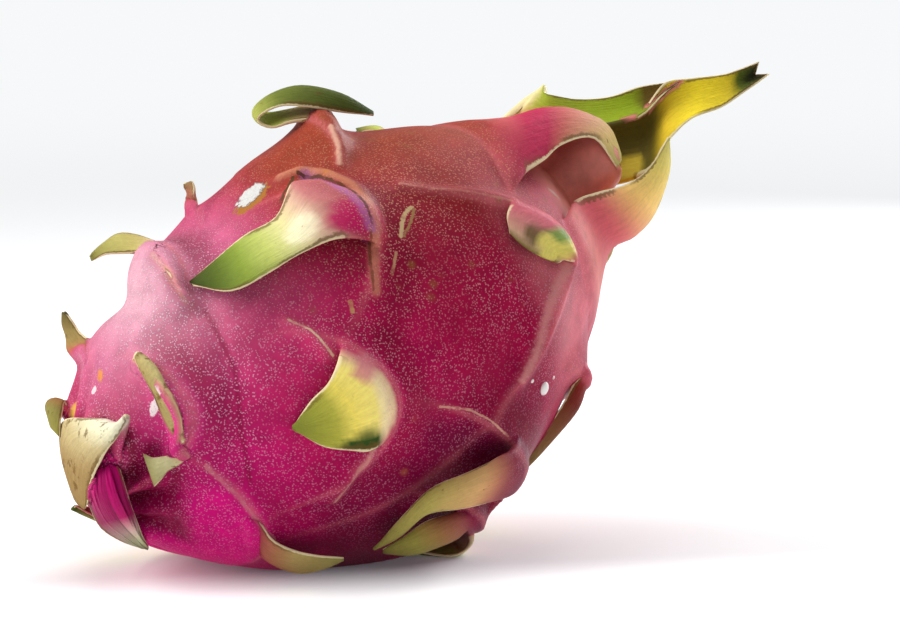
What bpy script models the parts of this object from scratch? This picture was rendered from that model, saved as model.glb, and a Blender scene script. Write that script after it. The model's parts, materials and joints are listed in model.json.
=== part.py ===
"""A whole dragon fruit lying on its side, crown end raised, as one closed solid.

The fruit grew as one piece, so its rind, neck and leafy scales are one object. A sphere is
drawn out to the fruit's outline and raised into a crest for each scale. Each scale is a grid
stretched over three rails and given its thickness by Solidify, and one Boolean joins them.

Lengths are in millimetres and angles in degrees until a mesh is made, which is in metres.
Fruit frame: x up and y to the near side across the axis, z along the axis from the stalk
end to the crown. Around the axis, angle 0 is the top and 90 is the near side.
"""

import math
from dataclasses import dataclass

import bmesh
import bpy
import numpy as np

MM = 0.001

# Driving dimensions
BODY_RADIUS = 43.6
HALF_LENGTH = 61.0
TILT = 26.0
CENTRE_HEIGHT = 44.6
ORIGIN_X = 28.5
ORIGIN_Y = -0.1
STALK_TAPER = 1.40
CROWN_TAPER = 1.10
TOP_FLATTENING = 4.0
SHOULDER_FLATTENING = 1.6
NECK_RADIUS = 9.5
NECK_END = 75.0
NECK_LEAN = 9.0
NECK_LEAN_START = 46.0
PIT_RADIUS = 6.5
PIT_DEPTH = 9.0
STALK_SCAR_RADIUS = 5.0
STALK_SCAR_DEPTH = 2.0
EDGE_THICKNESS = 1.1
ROOT_THICKNESS = 2.8
ROOT_SINK = 3.0
REST_DEPTH = 0.05
CREST_ROUNDING = 0.5

# Mesh sizes
BODY_SEGMENTS = 56
BODY_RINGS = 37
STEPS_PER_KNOT = 1
BLADE_COLUMNS = 4

SKIN_COLOUR = (0.56, 0.03, 0.19, 1.0)
LEAF_COLOUR = (0.36, 0.42, 0.10, 1.0)
LEAF_STARTS = 0.4


@dataclass
class Scale:
    """One leafy scale: the crest it grows from, and the rails that its blade is stretched over.

    z and around place the crest's middle. The blade's root runs along the crest between the
    two distances aside in root. A rail point is (along, aside, height): along the axis and
    aside from the crest's middle, and above the plain outline. Where free, the points are in
    the fruit frame instead. The rails are the blade's first edge, its middle and its last edge.
    """

    z: float
    around: float
    rails: tuple
    root: tuple | None = (-10, 10)
    # the crest: its height, its arms' curl in 1/mm on either side, and how it falls away
    crest: float = 4.0
    arm_before: float = 0.035
    arm_after: float = 0.035
    reach: float = 21.0
    stalk_fall: float = 2.0
    crown_fall: float = 7.0
    # the wave of the free edge, in mm, and its count along the blade
    wave: float = 0.4
    waves: float = 2.2
    # the swelling on the stalk side, as a share of the crest, and how far back it lies
    swell: float = 0.25
    swell_back: float = 15
    free: bool = False


# Scales that the near side shows, then the ones round the stalk and the crown
SCALES = {
    "broad_leaf": Scale(
        8.5, 46, root=(-14, 8), crest=4.2, arm_before=0.036, arm_after=0.047,
        rails=(
            (
                (-8, -14, 3.5), (-14.5, -10, 3), (-21.5, -10, 3.5), (-27.5, -10.5, 3.5),
                (-34.5, -11.5, 2.5),
            ),
            ((-8, -3, 6), (-15.5, -1, 6.5), (-23, -2, 6.5), (-29.5, -3.5, 5.5), (-35, -10.5, 3)),
            ((-8.5, 4.5, 6.5), (-16, 3, 7), (-24, 2.5, 7.5), (-31.5, 0.5, 6.5), (-35, -9, 3.5)),
        ),
    ),
    "middle_flap": Scale(
        -6.5, 88, root=(-12, 8), crest=4.6, arm_before=0.03, arm_after=0.075, crown_fall=8,
        rails=(
            ((-7.5, -9.5, 5.5), (-11, -7, 5.5), (-15, -5.5, 4.5), (-19.5, -2.5, 3.5)),
            ((-4, -1, 5.5), (-9.5, -0.5, 5.5), (-14.5, -0.5, 4.5), (-20, -2, 3.5)),
            ((-9, 8, 5), (-12, 7, 5), (-16.5, 4, 4.5), (-19.5, -1, 3.5)),
        ),
    ),
    "lower_right_leaf": Scale(
        14.5, 130, root=(-8, 7), crest=5, arm_before=0.025, arm_after=0.06, reach=27,
        rails=(
            ((-7, -9.5, 7), (-14.5, -11, 7), (-22, -10.5, 6), (-29, -6, 5), (-34, 2.5, 4)),
            ((-8.5, -8, 9), (-17, -9.5, 9), (-23.5, -9.5, 8), (-29.5, -4, 6), (-34.5, 1.5, 4.5)),
            (
                (-12, -2, 7.5), (-18.5, -5, 7.5), (-24.5, -5.5, 6.5), (-29.5, -1, 5),
                (-34.5, 2, 4.5),
            ),
        ),
    ),
    "torn_stub": Scale(
        43.5, 82, root=(-11, 4), crest=3.4, arm_before=0.062, arm_after=0.14, reach=24,
        rails=(
            ((-9, -9, 4), (-10.5, -6.5, 3)),
            ((-5.5, -4.5, 5.5), (-8.5, -2.5, 4)),
            ((-1, 2.5, 4.5), (-3, 2, 4)),
        ),
    ),
    "left_horn": Scale(
        -24, 12, root=(-12, 14), crest=4.6, arm_before=0.016, arm_after=0.016, stalk_fall=9,
        crown_fall=3, swell=0.65, swell_back=9, free=True,
        rails=(
            (
                (36, 1, -22), (37.5, -11, -21.5), (41, -11, -26.5), (41.5, -10.5, -30.5),
                (40.5, -9.5, -35),
            ),
            (
                (37, 8.5, -25.5), (37.5, -5, -24.5), (40.5, -7, -28.5), (41, -8.5, -32),
                (40.5, -9.5, -35),
            ),
            (
                (35.5, 19, -29), (37, 1.5, -26), (39, -3.5, -29.5), (40, -6, -32.5),
                (39.5, -9.5, -35),
            ),
        ),
    ),
    "small_horn": Scale(
        -11.5, -8, root=(-4, 4), crest=1.5, reach=10, stalk_fall=4, crown_fall=4, free=True,
        rails=(
            ((40, -15, -9.5), (42, -15, -9), (43.5, -14.5, -9)),
            ((39.5, -13, -9.5), (41.5, -13, -8.5), (43.5, -13.5, -8)),
            ((39, -11, -9), (41.5, -11, -8.5), (43.5, -12.5, -7.5)),
        ),
    ),
    "low_horn": Scale(
        -45, -12, root=(-6, 6), crest=1.2, reach=12, stalk_fall=4, crown_fall=4, free=True,
        rails=(
            ((24, -16, -46.5), (28, -16, -45.5), (31.5, -15, -44.5)),
            ((24.5, -11.5, -45), (28, -13, -45), (32, -14, -44)),
            ((26, -2.5, -44), (28, -9.5, -44), (31, -12.5, -44)),
        ),
    ),
    "withered_strip": Scale(
        -39.5, 64, root=(-16, 6), crest=4, arm_before=0.009, arm_after=0.12, stalk_fall=1.5,
        crown_fall=7,
        rails=(
            ((-2.5, -14, 5), (-3.5, -15, 5)),
            ((-2, -4.5, 6), (-4.5, -4.5, 6.5)),
            ((-4.5, 5.5, 5), (-6.5, 5.5, 5)),
        ),
    ),
    "withered_curl": Scale(
        -43, 76, root=(-2, 2), crest=0,
        rails=(
            ((-2, -0.5, 3.5), (-4.5, 0, 5), (-6.5, -1, 5.5), (-7.5, -3, 4.5)),
            ((-1.5, 1, 3.5), (-5, 1, 6), (-7, 1, 6.5), (-8, 0, 5.5)),
            ((-1.5, 2, 3.5), (-5, 2.5, 5), (-7, 3.5, 5.5), (-8.5, 5, 4.5)),
        ),
    ),
    "pale_husk": Scale(
        -51, 50, root=(-5, 5), crest=2, reach=12, crown_fall=4, free=True,
        rails=(
            (
                (15.5, 15, -52), (16.5, 9, -54.5), (14.5, -3.5, -56.5), (9.5, -3, -60),
                (2, 4.5, -63.5),
            ),
            ((15, 20.5, -52), (15, 18, -55.5), (12.5, 9.5, -58.5), (7.5, 4, -61), (0.5, 7, -63.5)),
            (
                (16.5, 21.5, -49.5), (13.5, 21.5, -53.5), (11, 19, -57), (6.5, 15, -60),
                (-0.5, 8.5, -63),
            ),
        ),
    ),
    "wrinkled_lobe": Scale(
        -54, 60, root=(-6, 6), crest=2, reach=12, crown_fall=4, free=True,
        rails=(
            (
                (7, 9.5, -59), (3.5, 8.5, -61.5), (-4.5, 6, -61.5), (-10, 7, -59.5),
                (-14.5, 7, -55.5),
            ),
            (
                (7.5, 15.5, -57.5), (3.5, 17.5, -60), (-2, 17, -60), (-8, 12.5, -58),
                (-14.5, 7, -55.5),
            ),
            (
                (7.5, 16, -54.5), (2.5, 18, -56), (-2.5, 18.5, -56.5), (-7.5, 15.5, -56.5),
                (-14, 7, -55),
            ),
        ),
    ),
    "left_lip": Scale(
        -53, -30, root=(-5, 5), crest=1.5, reach=10, crown_fall=4, free=True,
        rails=(
            ((18, -9.5, -55.5), (17, -9, -57.5), (14, -8, -58.5)),
            ((18, -7.5, -55), (17, -5.5, -57.5), (14, -4.5, -59)),
            ((17.5, -5.5, -54), (16, -3, -56.5), (12.5, -2, -59)),
        ),
    ),
    "floor_leaf": Scale(
        -38, 118, root=(-5, 8), crest=3, arm_before=0.015, arm_after=0.02, reach=23,
        stalk_fall=9, crown_fall=2.5,
        rails=(
            ((0, -3, 3), (1, 1, 4), (3.5, 4, 5), (6.5, 4.5, 6), (11.5, 6.5, 6)),
            ((-1, 0.5, 3), (-0.5, 5, 4), (3, 8, 4.5), (7, 8, 5.5), (11.5, 7, 6)),
            ((-1.5, 7, 2), (0.5, 11.5, 2.5), (4.5, 13, 3.5), (8, 10.5, 5), (11.5, 7, 6)),
        ),
    ),
    "under_leaf": Scale(
        5, 147, root=(-10, 7), crest=4, arm_before=0.035, arm_after=0.035,
        rails=(
            ((-6, -9.5, 3), (-13.5, -15, 5), (-19, -14, 5.5), (-23.5, -11, 5)),
            ((-5.5, -8, 5), (-13, -13, 8), (-19, -12.5, 7.5), (-23.5, -10, 5)),
            ((-3, 0.5, 4), (-10.5, -6.5, 7), (-17, -7, 6.5), (-23, -9, 5)),
        ),
    ),
    "right_edge_leaf": Scale(
        41, 146, root=(-6, 6), crest=3.5, reach=15, crown_fall=8, free=True,
        rails=(
            ((-26, 23, 39.5), (-28, 24, 35), (-31.5, 24.5, 27.5), (-36, 24.5, 18)),
            ((-29.5, 20.5, 41), (-32, 22.5, 37), (-34.5, 23.5, 28.5), (-37, 24.5, 18.5)),
            ((-32.5, 14, 42.5), (-33.5, 17.5, 37.5), (-36, 19.5, 29), (-37.5, 23, 18.5)),
        ),
    ),
    "top_hairpin": Scale(
        17.5, 0, root=(-8, 11), crest=5.5, arm_before=0.009, arm_after=0.009, stalk_fall=6,
        crown_fall=3.5, free=True,
        rails=(
            (
                (43.5, -7.5, 23.5), (46, -8, 22.5), (47.5, -10, 18), (49, -12, 14),
                (51, -11.5, 12.5), (51, -11, 16), (49.5, -8, 21.5), (45, -5.5, 27.5), (40, -2.5, 32),
            ),
            (
                (42.5, -2.5, 23), (45, -3, 21.5), (47, -5, 16.5), (48.5, -7.5, 11), (51, -8.5, 10),
                (52.5, -7, 14.5), (51.5, -4.5, 20.5), (46.5, -2.5, 27), (40, -2.5, 32),
            ),
            (
                (40, 3.5, 20.5), (44, 1.5, 20), (46.5, -0.5, 15), (47, -3.5, 10.5), (50, -4.5, 9),
                (50.5, -2, 13.5), (48, 0, 18.5), (43.5, -0.5, 25), (39.5, -1.5, 31.5),
            ),
        ),
    ),
    "top_far_leaf": Scale(
        27.5, -34, root=(-5, 5), crest=2.5, reach=12, stalk_fall=5, crown_fall=4, free=True,
        rails=(
            ((31.5, -15.5, 37), (32.5, -22.5, 38.5), (33.5, -24, 35.5)),
            ((32, -11, 35.5), (33, -19, 37), (34, -21.5, 34)),
            ((33, -6, 34), (33, -15.5, 36), (34, -17.5, 33)),
        ),
    ),
    "hood": Scale(
        45, 18, root=(-20, 20), crest=2, arm_before=0.012, arm_after=0.012, reach=27,
        stalk_fall=12, crown_fall=4, free=True,
        rails=(
            (
                (20, -3.5, 58), (19.5, -5.5, 66), (16.5, -6.5, 73.5), (12, -4.5, 78.5),
                (5, 0.5, 78.5),
            ),
            ((26.5, 11, 54.5), (24, 7.5, 64.5), (19.5, 6, 73), (13, 4.5, 78.5), (5, 6, 78)),
            ((19, 24, 47), (18.5, 20.5, 54), (18.5, 17.5, 60.5), (15, 13.5, 70), (5, 9.5, 74)),
        ),
    ),
    "crown_cup": Scale(
        49, 112, root=(-16, 16), crest=1.5, arm_before=0.004, arm_after=0.004, reach=22,
        stalk_fall=7, crown_fall=3, free=True,
        rails=(
            ((7.5, 20.5, 56.5), (5.5, 17.5, 64), (3, 14.5, 72), (2, 10.5, 80.5), (4.5, 6, 90.5)),
            ((-2.5, 19, 58.5), (-4, 15.5, 68), (-3.5, 12.5, 76), (-1, 9, 84.5), (4, 4.5, 91.5)),
            ((-10.5, 9.5, 63.5), (-11.5, 6, 73.5), (-9.5, 4, 81), (-3.5, 3, 89), (3, 3, 92)),
        ),
    ),
    "back_leaf": Scale(
        52, -66, root=(-9, 9), crest=1.5, arm_before=0.01, arm_after=0.01, reach=16,
        stalk_fall=6, crown_fall=3, free=True,
        rails=(
            (
                (16.5, -17.5, 69), (14.5, -15.5, 73.5), (11.5, -12, 80), (8.5, -10, 87),
                (7.5, -9, 94), (9.5, -9.5, 102),
            ),
            (
                (19.5, -19.5, 72.5), (17.5, -16, 76.5), (14, -15, 82.5), (10.5, -13.5, 90),
                (9, -12, 98), (9.5, -10, 105),
            ),
            (
                (22, -20.5, 78.5), (20.5, -17.5, 78.5), (16.5, -16.5, 84.5), (13.5, -15, 92),
                (12.5, -13, 99.5), (9.5, -10, 108.5),
            ),
        ),
    ),
    "long_tip": Scale(
        72, -20, root=None, crest=0, free=True,
        rails=(
            (
                (0, -6.5, 70), (-1, 0.5, 79.5), (-1, 2, 86), (2, -0.5, 93.5), (2.5, -3.5, 102.5),
                (0.5, -5.5, 112), (0.5, -7.5, 121), (0.5, -9.5, 130),
            ),
            (
                (10.5, -7.5, 70), (2, -9, 88), (1.5, -9, 94.5), (5, -9, 101), (5, -9, 107.5),
                (3, -9, 116.5), (2.5, -10, 121), (1.5, -10.5, 124),
            ),
            (
                (15.5, -2.5, 70), (8, -10, 93.5), (9.5, -10, 98.5), (11.5, -10.5, 104),
                (9, -11, 110.5), (6, -10, 118.5), (5, -10.5, 123.5), (4, -11, 129.5),
            ),
        ),
    ),
}

# A reflexed scale's rails, which the far side repeats
REFLEXED_RAILS = (
    ((-9, -9, 4), (-16, -8, 4.5), (-22, -6, 4), (-28, -2, 2.5)),
    ((-8, 0, 6), (-16, 0, 7), (-23, 0, 6), (-29, 0, 3)),
    ((-9, 9, 4), (-16, 8, 4.5), (-22, 6, 4), (-28, 2, 2.5)),
)
UPRIGHT_RAILS = (
    ((9, -10, 8), (19, -8, 13), (27, -2, 12)),
    ((9, 0, 11), (20, 0, 16), (29, 0, 13)),
    ((9, 10, 8), (19, 8, 13), (27, 2, 12)),
)

# The scale folded under the belly, which carries the crown end's share of the weight
RESTING_RAILS = (
    ((-4, -9, 7.5), (-9, -9, 7.5), (-15, -7, 3.0)),
    ((-4, 0, 8.5), (-9, 0, 8.0), (-15, 0, 4.5)),
    ((-4, 9, 7.5), (-9, 9, 7.5), (-15, 7, 3.0)),
)
RESTING_PLACE = (10, 177)

# The far side's staggered rows: z, first angle, step between scales, how many
FAR_ROWS = ((33, 192, 54, 3), (11, 206, 44, 3), (-11, 236, 50, 2), (-33, 228, 50, 2))
FAR_JITTER = 2.0
FAR_SIZE_SPREAD = 0.15
FAR_SEED = 7
UPRIGHT_PLACES = ((50, 205),)


def add_far_scales():
    """The scales that the near side doesn't show, in staggered rows with a seeded scatter."""
    draw = np.random.default_rng(FAR_SEED)
    for row, (z, first, step, count) in enumerate(FAR_ROWS):
        for place in range(count):
            shift_z, shift_around, size = draw.uniform(-1, 1, 3)
            SCALES[f"far_{row}_{place}"] = Scale(
                z + FAR_JITTER * shift_z,
                first + step * place + FAR_JITTER * shift_around,
                np.array(REFLEXED_RAILS) * (1 + FAR_SIZE_SPREAD * size),
            )
    for place, (z, around) in enumerate(UPRIGHT_PLACES):
        SCALES[f"upright_{place}"] = Scale(
            z, around, UPRIGHT_RAILS, root=(-11, 11), crest=1.5, arm_before=0.01, arm_after=0.01,
            reach=16, stalk_fall=6, crown_fall=3,
        )
    SCALES["resting"] = Scale(*RESTING_PLACE, RESTING_RAILS, wave=0.0)


add_far_scales()


def body_radius(z):
    """The rind's radius: a power of the sine, blended into the neck where that is larger."""
    sine = np.sqrt(np.clip(1 - (z / HALF_LENGTH) ** 2, 0, 1))
    body = BODY_RADIUS * sine ** np.where(z < 0, STALK_TAPER, CROWN_TAPER)
    neck = NECK_RADIUS * (z > 0)
    return np.cbrt(body**3 + neck**3)


def flattening(z, around):
    """How far the top lies below the turned outline, on its stalk side and at its shoulder."""
    top = np.clip(np.cos(np.radians(around + 6)), 0, 1) ** 2
    stalk_side = TOP_FLATTENING * np.exp(-(((z + 14) / 24) ** 2))
    shoulder = SHOULDER_FLATTENING * np.exp(-(((z - 30) / 14) ** 2))
    return top * (stalk_side + shoulder)


def over_outline(z, around, height):
    """Points of the fruit frame that stand this high over the plain outline."""
    turn = np.radians(around)
    out = body_radius(z) - flattening(z, around) + height
    lean = NECK_LEAN * np.clip((z - NECK_LEAN_START) / (NECK_END - NECK_LEAN_START), 0, 1) ** 1.5
    return np.stack([out * np.cos(turn) + lean, out * np.sin(turn), z + 0 * out], -1)


def profile(count):
    """(z, inset) of the turned outline, evenly spaced from the stalk scar to the crown's pit.

    The inset is how far a ring lies within the plain outline at its z.
    """
    turn = np.linspace(0, 0.985 * np.pi, 400)
    z = -HALF_LENGTH * np.cos(turn)
    r = body_radius(z)
    z = z + STALK_SCAR_DEPTH * np.clip(1 - r / STALK_SCAR_RADIUS, 0, 1) * (z < 0)
    neck_z = np.linspace(z[-1], NECK_END, 40)[1:]
    rim = np.linspace(0, np.pi, 16)[1:]
    middle, half = (NECK_RADIUS + PIT_RADIUS) / 2, (NECK_RADIUS - PIT_RADIUS) / 2
    z = np.concatenate([z, neck_z, NECK_END + half * np.sin(rim), [NECK_END - PIT_DEPTH] * 2])
    r = np.concatenate(
        [r, body_radius(neck_z), middle + half * np.cos(rim), [PIT_RADIUS * 0.7, 0]]
    )
    walked = np.concatenate([[0], np.cumsum(np.hypot(np.diff(z), np.diff(r)))])
    even = np.linspace(0, walked[-1], count + 1)
    z, r = np.interp(even, walked, z), np.interp(even, walked, r)
    return z, body_radius(z) - r


def aside(scale, around):
    """Signed distance in mm round the axis from a scale's middle, at the scale's own radius."""
    offset = (around - scale.around + 180) % 360 - 180
    return np.radians(offset) * body_radius(np.float64(scale.z))


def crest_z(scale, y):
    """A crest is an arc open to the stalk: a parabola with an arm of its own on either side."""
    return scale.z - np.where(y < 0, scale.arm_before, scale.arm_after) * y**2


def crest_height(scale, z, around):
    """A scale's crest, rounded on top, steep on one side and gentle on the other."""
    y = aside(scale, around)
    arm = np.where(y < 0, scale.arm_before, scale.arm_after)
    beyond = (z - crest_z(scale, y)) / np.sqrt(1 + (2 * arm * y) ** 2)
    away = np.sqrt(beyond**2 + CREST_ROUNDING**2) - CREST_ROUNDING
    fall = np.where(beyond > 0, scale.crown_fall, scale.stalk_fall)
    return scale.crest * np.clip(1 - (y / scale.reach) ** 2, 0, 1) ** 1.5 * np.exp(-away / fall)


def swell_height(scale, z, around):
    """The low swelling that each scale's base makes on its stalk side."""
    y = aside(scale, around)
    back = (z - scale.z + scale.swell_back) / 12
    return scale.swell * scale.crest * np.exp(-(back**2) - (y / 12) ** 2)


def pleats(z, around):
    """Deep folds that draw the rind in round the stalk, strongest on the near side."""
    window = np.exp(-(((z + 54) / 6) ** 2))
    near = 0.3 + 0.7 * np.exp(-((((around - 85 + 180) % 360 - 180) / 40) ** 2))
    turn = np.radians(around)
    return 1.5 * window * near * np.cos(13 * turn + 1.5 * np.sin(4 * turn))


def relief(z, around):
    """How far the rind stands off its plain outline. Of crossing crests, the higher one wins."""
    crests = sum(crest_height(s, z, around) ** 3 for s in SCALES.values())
    swells = sum(swell_height(s, z, around) for s in SCALES.values())
    fade = np.clip((62 - z) / 8, 0, 1)
    return (np.cbrt(crests) + swells + pleats(z, around)) * fade


def skin(z, around, inset=0.0):
    """Points of the rind in the fruit frame, with its relief raised square to the outline."""
    z, around, inset = np.broadcast_arrays(z, around, inset)
    step = 0.5
    slope = (body_radius(z + step) - body_radius(z - step)) / (2 * step)
    lift = relief(z, around) / np.sqrt(1 + slope**2)
    return over_outline(z, around, lift - inset) - (slope * lift)[..., None] * [0, 0, 1]


def along_curve(knots, share):
    """Points at shares of the way along a smooth curve through knots (Catmull-Rom)."""
    slopes = np.gradient(knots, axis=0)
    at = np.asarray(share) * (len(knots) - 1)
    span = np.clip(at.astype(int), 0, len(knots) - 2)
    t = (at - span).reshape(-1, *[1] * (knots.ndim - 1))
    return (
        knots[span] * (1 + 2 * t) * (1 - t) ** 2
        + slopes[span] * t * (1 - t) ** 2
        + knots[span + 1] * t**2 * (3 - 2 * t)
        - slopes[span + 1] * t**2 * (1 - t)
    )


def blade(scale, steps_per_knot, columns):
    """The middle surface of a scale's blade: a grid of points in the fruit frame.

    Cross lines are parabolas through the three rails. Lines along them are smooth curves that
    start within the rind, pass the crest and then follow the rails, with a wave at the edges.
    """
    v = np.linspace(-1, 1, columns + 1)
    rails = np.array(scale.rails, float)
    if not scale.free:
        turn = scale.around + np.degrees(rails[..., 1] / body_radius(np.float64(scale.z)))
        rails = over_outline(scale.z + rails[..., 0], turn, rails[..., 2])
    weights = np.stack([v * (v - 1) / 2, 1 - v**2, v * (v + 1) / 2])
    knots = np.einsum("kc,knd->ncd", weights, rails)
    if scale.root is not None:
        y = np.interp(v, [-1, 1], scale.root)
        turn = scale.around + np.degrees(y / body_radius(np.float64(scale.z)))
        z = crest_z(scale, y)
        root = skin(z, turn)
        sunk = over_outline(z, turn, -ROOT_SINK)
        knots = np.concatenate([[sunk, root], knots])
    share = np.linspace(0, 1, steps_per_knot * (len(knots) - 1) + 1)
    points = along_curve(knots, share)
    normal = np.cross(np.gradient(points, axis=0), np.gradient(points, axis=1))
    normal /= np.linalg.norm(normal, axis=-1, keepdims=True) + 1e-9
    edge = np.abs(v) ** 3 * np.sin(2 * np.pi * (scale.waves * share[:, None] + 0.25 * np.sign(v)))
    fade = np.clip(4 * share[:, None] - 1, 0, 1) * (1 - share[:, None] ** 4)
    return points + scale.wave * (edge * fade)[..., None] * normal


def placed(points):
    """Fruit frame to the part's frame: the axis is tilted and the fruit's middle is raised."""
    tilt = math.radians(TILT)
    up = np.array([-math.sin(tilt), 0, math.cos(tilt)])
    near = np.array([0, -1.0, 0])
    along = np.array([math.cos(tilt), 0, math.sin(tilt)])
    middle = np.array([-ORIGIN_X, -ORIGIN_Y, CENTRE_HEIGHT])
    return points @ np.array([up, near, along]) + middle


def material(name, colour, roughness):
    made = bpy.data.materials.new(name)
    made.use_nodes = True
    shader = made.node_tree.nodes["Principled BSDF"]
    shader.inputs["Base Color"].default_value = colour
    shader.inputs["Roughness"].default_value = roughness
    shader.inputs["Metallic"].default_value = 0.0
    made.diffuse_color = colour
    return made


def add_object(name, bm, collection, materials):
    mesh = bpy.data.meshes.new(name)
    bm.to_mesh(mesh)
    bm.free()
    for each in materials:
        mesh.materials.append(each)
    made = bpy.data.objects.new(name, mesh)
    collection.objects.link(made)
    return made


def make_body(materials):
    """The rind: a sphere whose rings are moved to the turned profile, flat where it rests."""
    bm = bmesh.new()
    bmesh.ops.create_uvsphere(bm, u_segments=BODY_SEGMENTS, v_segments=BODY_RINGS, radius=1)
    ball = np.array([v.co for v in bm.verts])
    z, inset = profile(BODY_RINGS)
    share = np.arccos(np.clip(-ball[:, 2], -1, 1)) / np.pi * BODY_RINGS
    rings = np.arange(BODY_RINGS + 1)
    around = np.degrees(np.arctan2(ball[:, 1], ball[:, 0]))
    points = placed(skin(np.interp(share, rings, z), around, np.interp(share, rings, inset)))
    points[:, 2] = np.maximum(points[:, 2], 0)
    for vertex, point in zip(bm.verts, points * MM):
        vertex.co = point
    bmesh.ops.triangulate(bm, faces=bm.faces)
    return add_object("fruit", bm, bpy.context.scene.collection, materials)


def make_blade(name, scale, collection, materials):
    """One scale: a grid moved to its middle surface, then thickened, thinner at its edges."""
    surface = placed(blade(scale, STEPS_PER_KNOT, BLADE_COLUMNS))
    steps = len(surface) - 1
    bm = bmesh.new()
    bmesh.ops.create_grid(bm, x_segments=steps, y_segments=BLADE_COLUMNS, size=1)
    flat = np.array([v.co for v in bm.verts])
    step = np.rint((flat[:, 0] + 1) / 2 * steps).astype(int)
    column = np.rint((flat[:, 1] + 1) / 2 * BLADE_COLUMNS).astype(int)
    points = surface[step, column]
    points[:, 2] = np.maximum(points[:, 2], EDGE_THICKNESS / 2 - REST_DEPTH)
    for vertex, point in zip(bm.verts, points * MM):
        vertex.co = point
    for face in bm.faces:
        at = np.mean([step[v.index] for v in face.verts])
        face.material_index = int(at > LEAF_STARTS * steps)
    bmesh.ops.triangulate(bm, faces=bm.faces)
    made = add_object(name, bm, collection, materials)
    group = made.vertex_groups.new(name="thickness")
    thickness = np.interp(step / steps, [0, 0.45], [ROOT_THICKNESS, EDGE_THICKNESS])
    for index, value in enumerate(thickness / ROOT_THICKNESS):
        group.add([index], value, "REPLACE")
    solid = made.modifiers.new("thickness", "SOLIDIFY")
    solid.thickness = ROOT_THICKNESS * MM
    solid.offset = 0
    solid.vertex_group = group.name
    return made


def join_scales(body, scales):
    """One Boolean union on the scales' collection, applied, and the scales removed."""
    union = body.modifiers.new("scales", "BOOLEAN")
    union.operation = "UNION"
    union.operand_type = "COLLECTION"
    union.collection = scales
    union.solver = "MANIFOLD"
    graph = bpy.context.evaluated_depsgraph_get()
    joined = bpy.data.meshes.new_from_object(body.evaluated_get(graph))
    body.modifiers.clear()
    body.data = joined
    for each in list(scales.objects):
        bpy.data.objects.remove(each)
    bpy.data.collections.remove(scales)


def keep_largest_surface(body):
    """Fills each sealed hollow and drops loose scraps: only the largest closed surface stays."""
    bm = bmesh.new()
    bm.from_mesh(body.data)
    bmesh.ops.triangulate(bm, faces=bm.faces)
    unseen = set(bm.faces)
    surfaces = []
    while unseen:
        stack = [unseen.pop()]
        surface = set(stack)
        while stack:
            for edge in stack.pop().edges:
                fresh = [face for face in edge.link_faces if face not in surface]
                surface.update(fresh)
                stack.extend(fresh)
        unseen -= surface
        surfaces.append(surface)
    largest = max(surfaces, key=len)
    rest = [face for face in bm.faces if face not in largest]
    bmesh.ops.delete(bm, geom=rest, context="FACES")
    bm.to_mesh(body.data)
    bm.free()


def main():
    for old in list(bpy.data.objects):
        bpy.data.objects.remove(old)
    materials = [
        material("rind", SKIN_COLOUR, 0.42),
        material("scale_green", LEAF_COLOUR, 0.5),
    ]
    body = make_body(materials)
    scales = bpy.data.collections.new("scales")
    bpy.context.scene.collection.children.link(scales)
    for name, scale in SCALES.items():
        make_blade(name, scale, scales, materials)
    join_scales(body, scales)
    keep_largest_surface(body)
    for vertex in body.data.vertices:
        vertex.co.z = max(vertex.co.z, 0.0)
    body.data.shade_smooth()
    body.data.set_sharp_from_angle(angle=math.radians(50))


main()
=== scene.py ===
# %% [markdown]
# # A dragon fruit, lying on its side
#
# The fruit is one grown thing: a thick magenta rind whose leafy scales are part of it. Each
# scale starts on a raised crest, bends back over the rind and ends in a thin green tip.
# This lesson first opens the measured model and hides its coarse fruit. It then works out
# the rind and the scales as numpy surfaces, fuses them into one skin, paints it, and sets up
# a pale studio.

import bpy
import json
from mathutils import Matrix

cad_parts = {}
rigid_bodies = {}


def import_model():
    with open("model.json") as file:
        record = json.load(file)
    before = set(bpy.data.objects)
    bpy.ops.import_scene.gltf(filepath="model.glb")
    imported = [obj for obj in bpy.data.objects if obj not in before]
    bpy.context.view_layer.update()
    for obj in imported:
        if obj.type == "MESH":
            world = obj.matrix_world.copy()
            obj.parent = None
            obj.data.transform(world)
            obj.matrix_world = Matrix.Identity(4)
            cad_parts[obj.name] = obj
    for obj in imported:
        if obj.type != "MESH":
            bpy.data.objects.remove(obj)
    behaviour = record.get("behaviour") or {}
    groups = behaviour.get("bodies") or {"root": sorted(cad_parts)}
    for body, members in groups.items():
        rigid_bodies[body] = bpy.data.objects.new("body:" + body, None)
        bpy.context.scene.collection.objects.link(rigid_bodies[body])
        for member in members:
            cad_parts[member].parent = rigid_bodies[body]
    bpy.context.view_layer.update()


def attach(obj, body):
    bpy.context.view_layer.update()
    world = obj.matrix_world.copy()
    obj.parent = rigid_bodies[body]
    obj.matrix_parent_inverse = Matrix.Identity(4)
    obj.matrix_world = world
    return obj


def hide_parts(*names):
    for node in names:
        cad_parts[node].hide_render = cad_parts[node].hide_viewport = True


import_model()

# %% Modules and the unit
import json
import math
from dataclasses import dataclass

import bmesh
import bpy
import numpy as np
from mathutils import Vector

MM = 0.001  # shapes are worked out in millimetres, and meshes hold metres

# %% [markdown]
# ## Two curves and a turn
#
# Most of what follows is put together from two curves: a soft step from 0 to 1, and a bell
# that is 1 at its middle. Angles are compared as signed turns, so 350 lies 10 before 0.

# %% Soft step, bell and turn
def smooth(low, high, value):
    """0 below low, 1 above high, and an S-curve between; low may be the greater."""
    t = np.clip((value - low) / (high - low), 0, 1)
    return t * t * (3 - 2 * t)


def bell(value, middle, width):
    """A bell curve: e to the power of minus the squared distance from the middle, in widths."""
    return np.exp(-(((value - middle) / width) ** 2))


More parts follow.
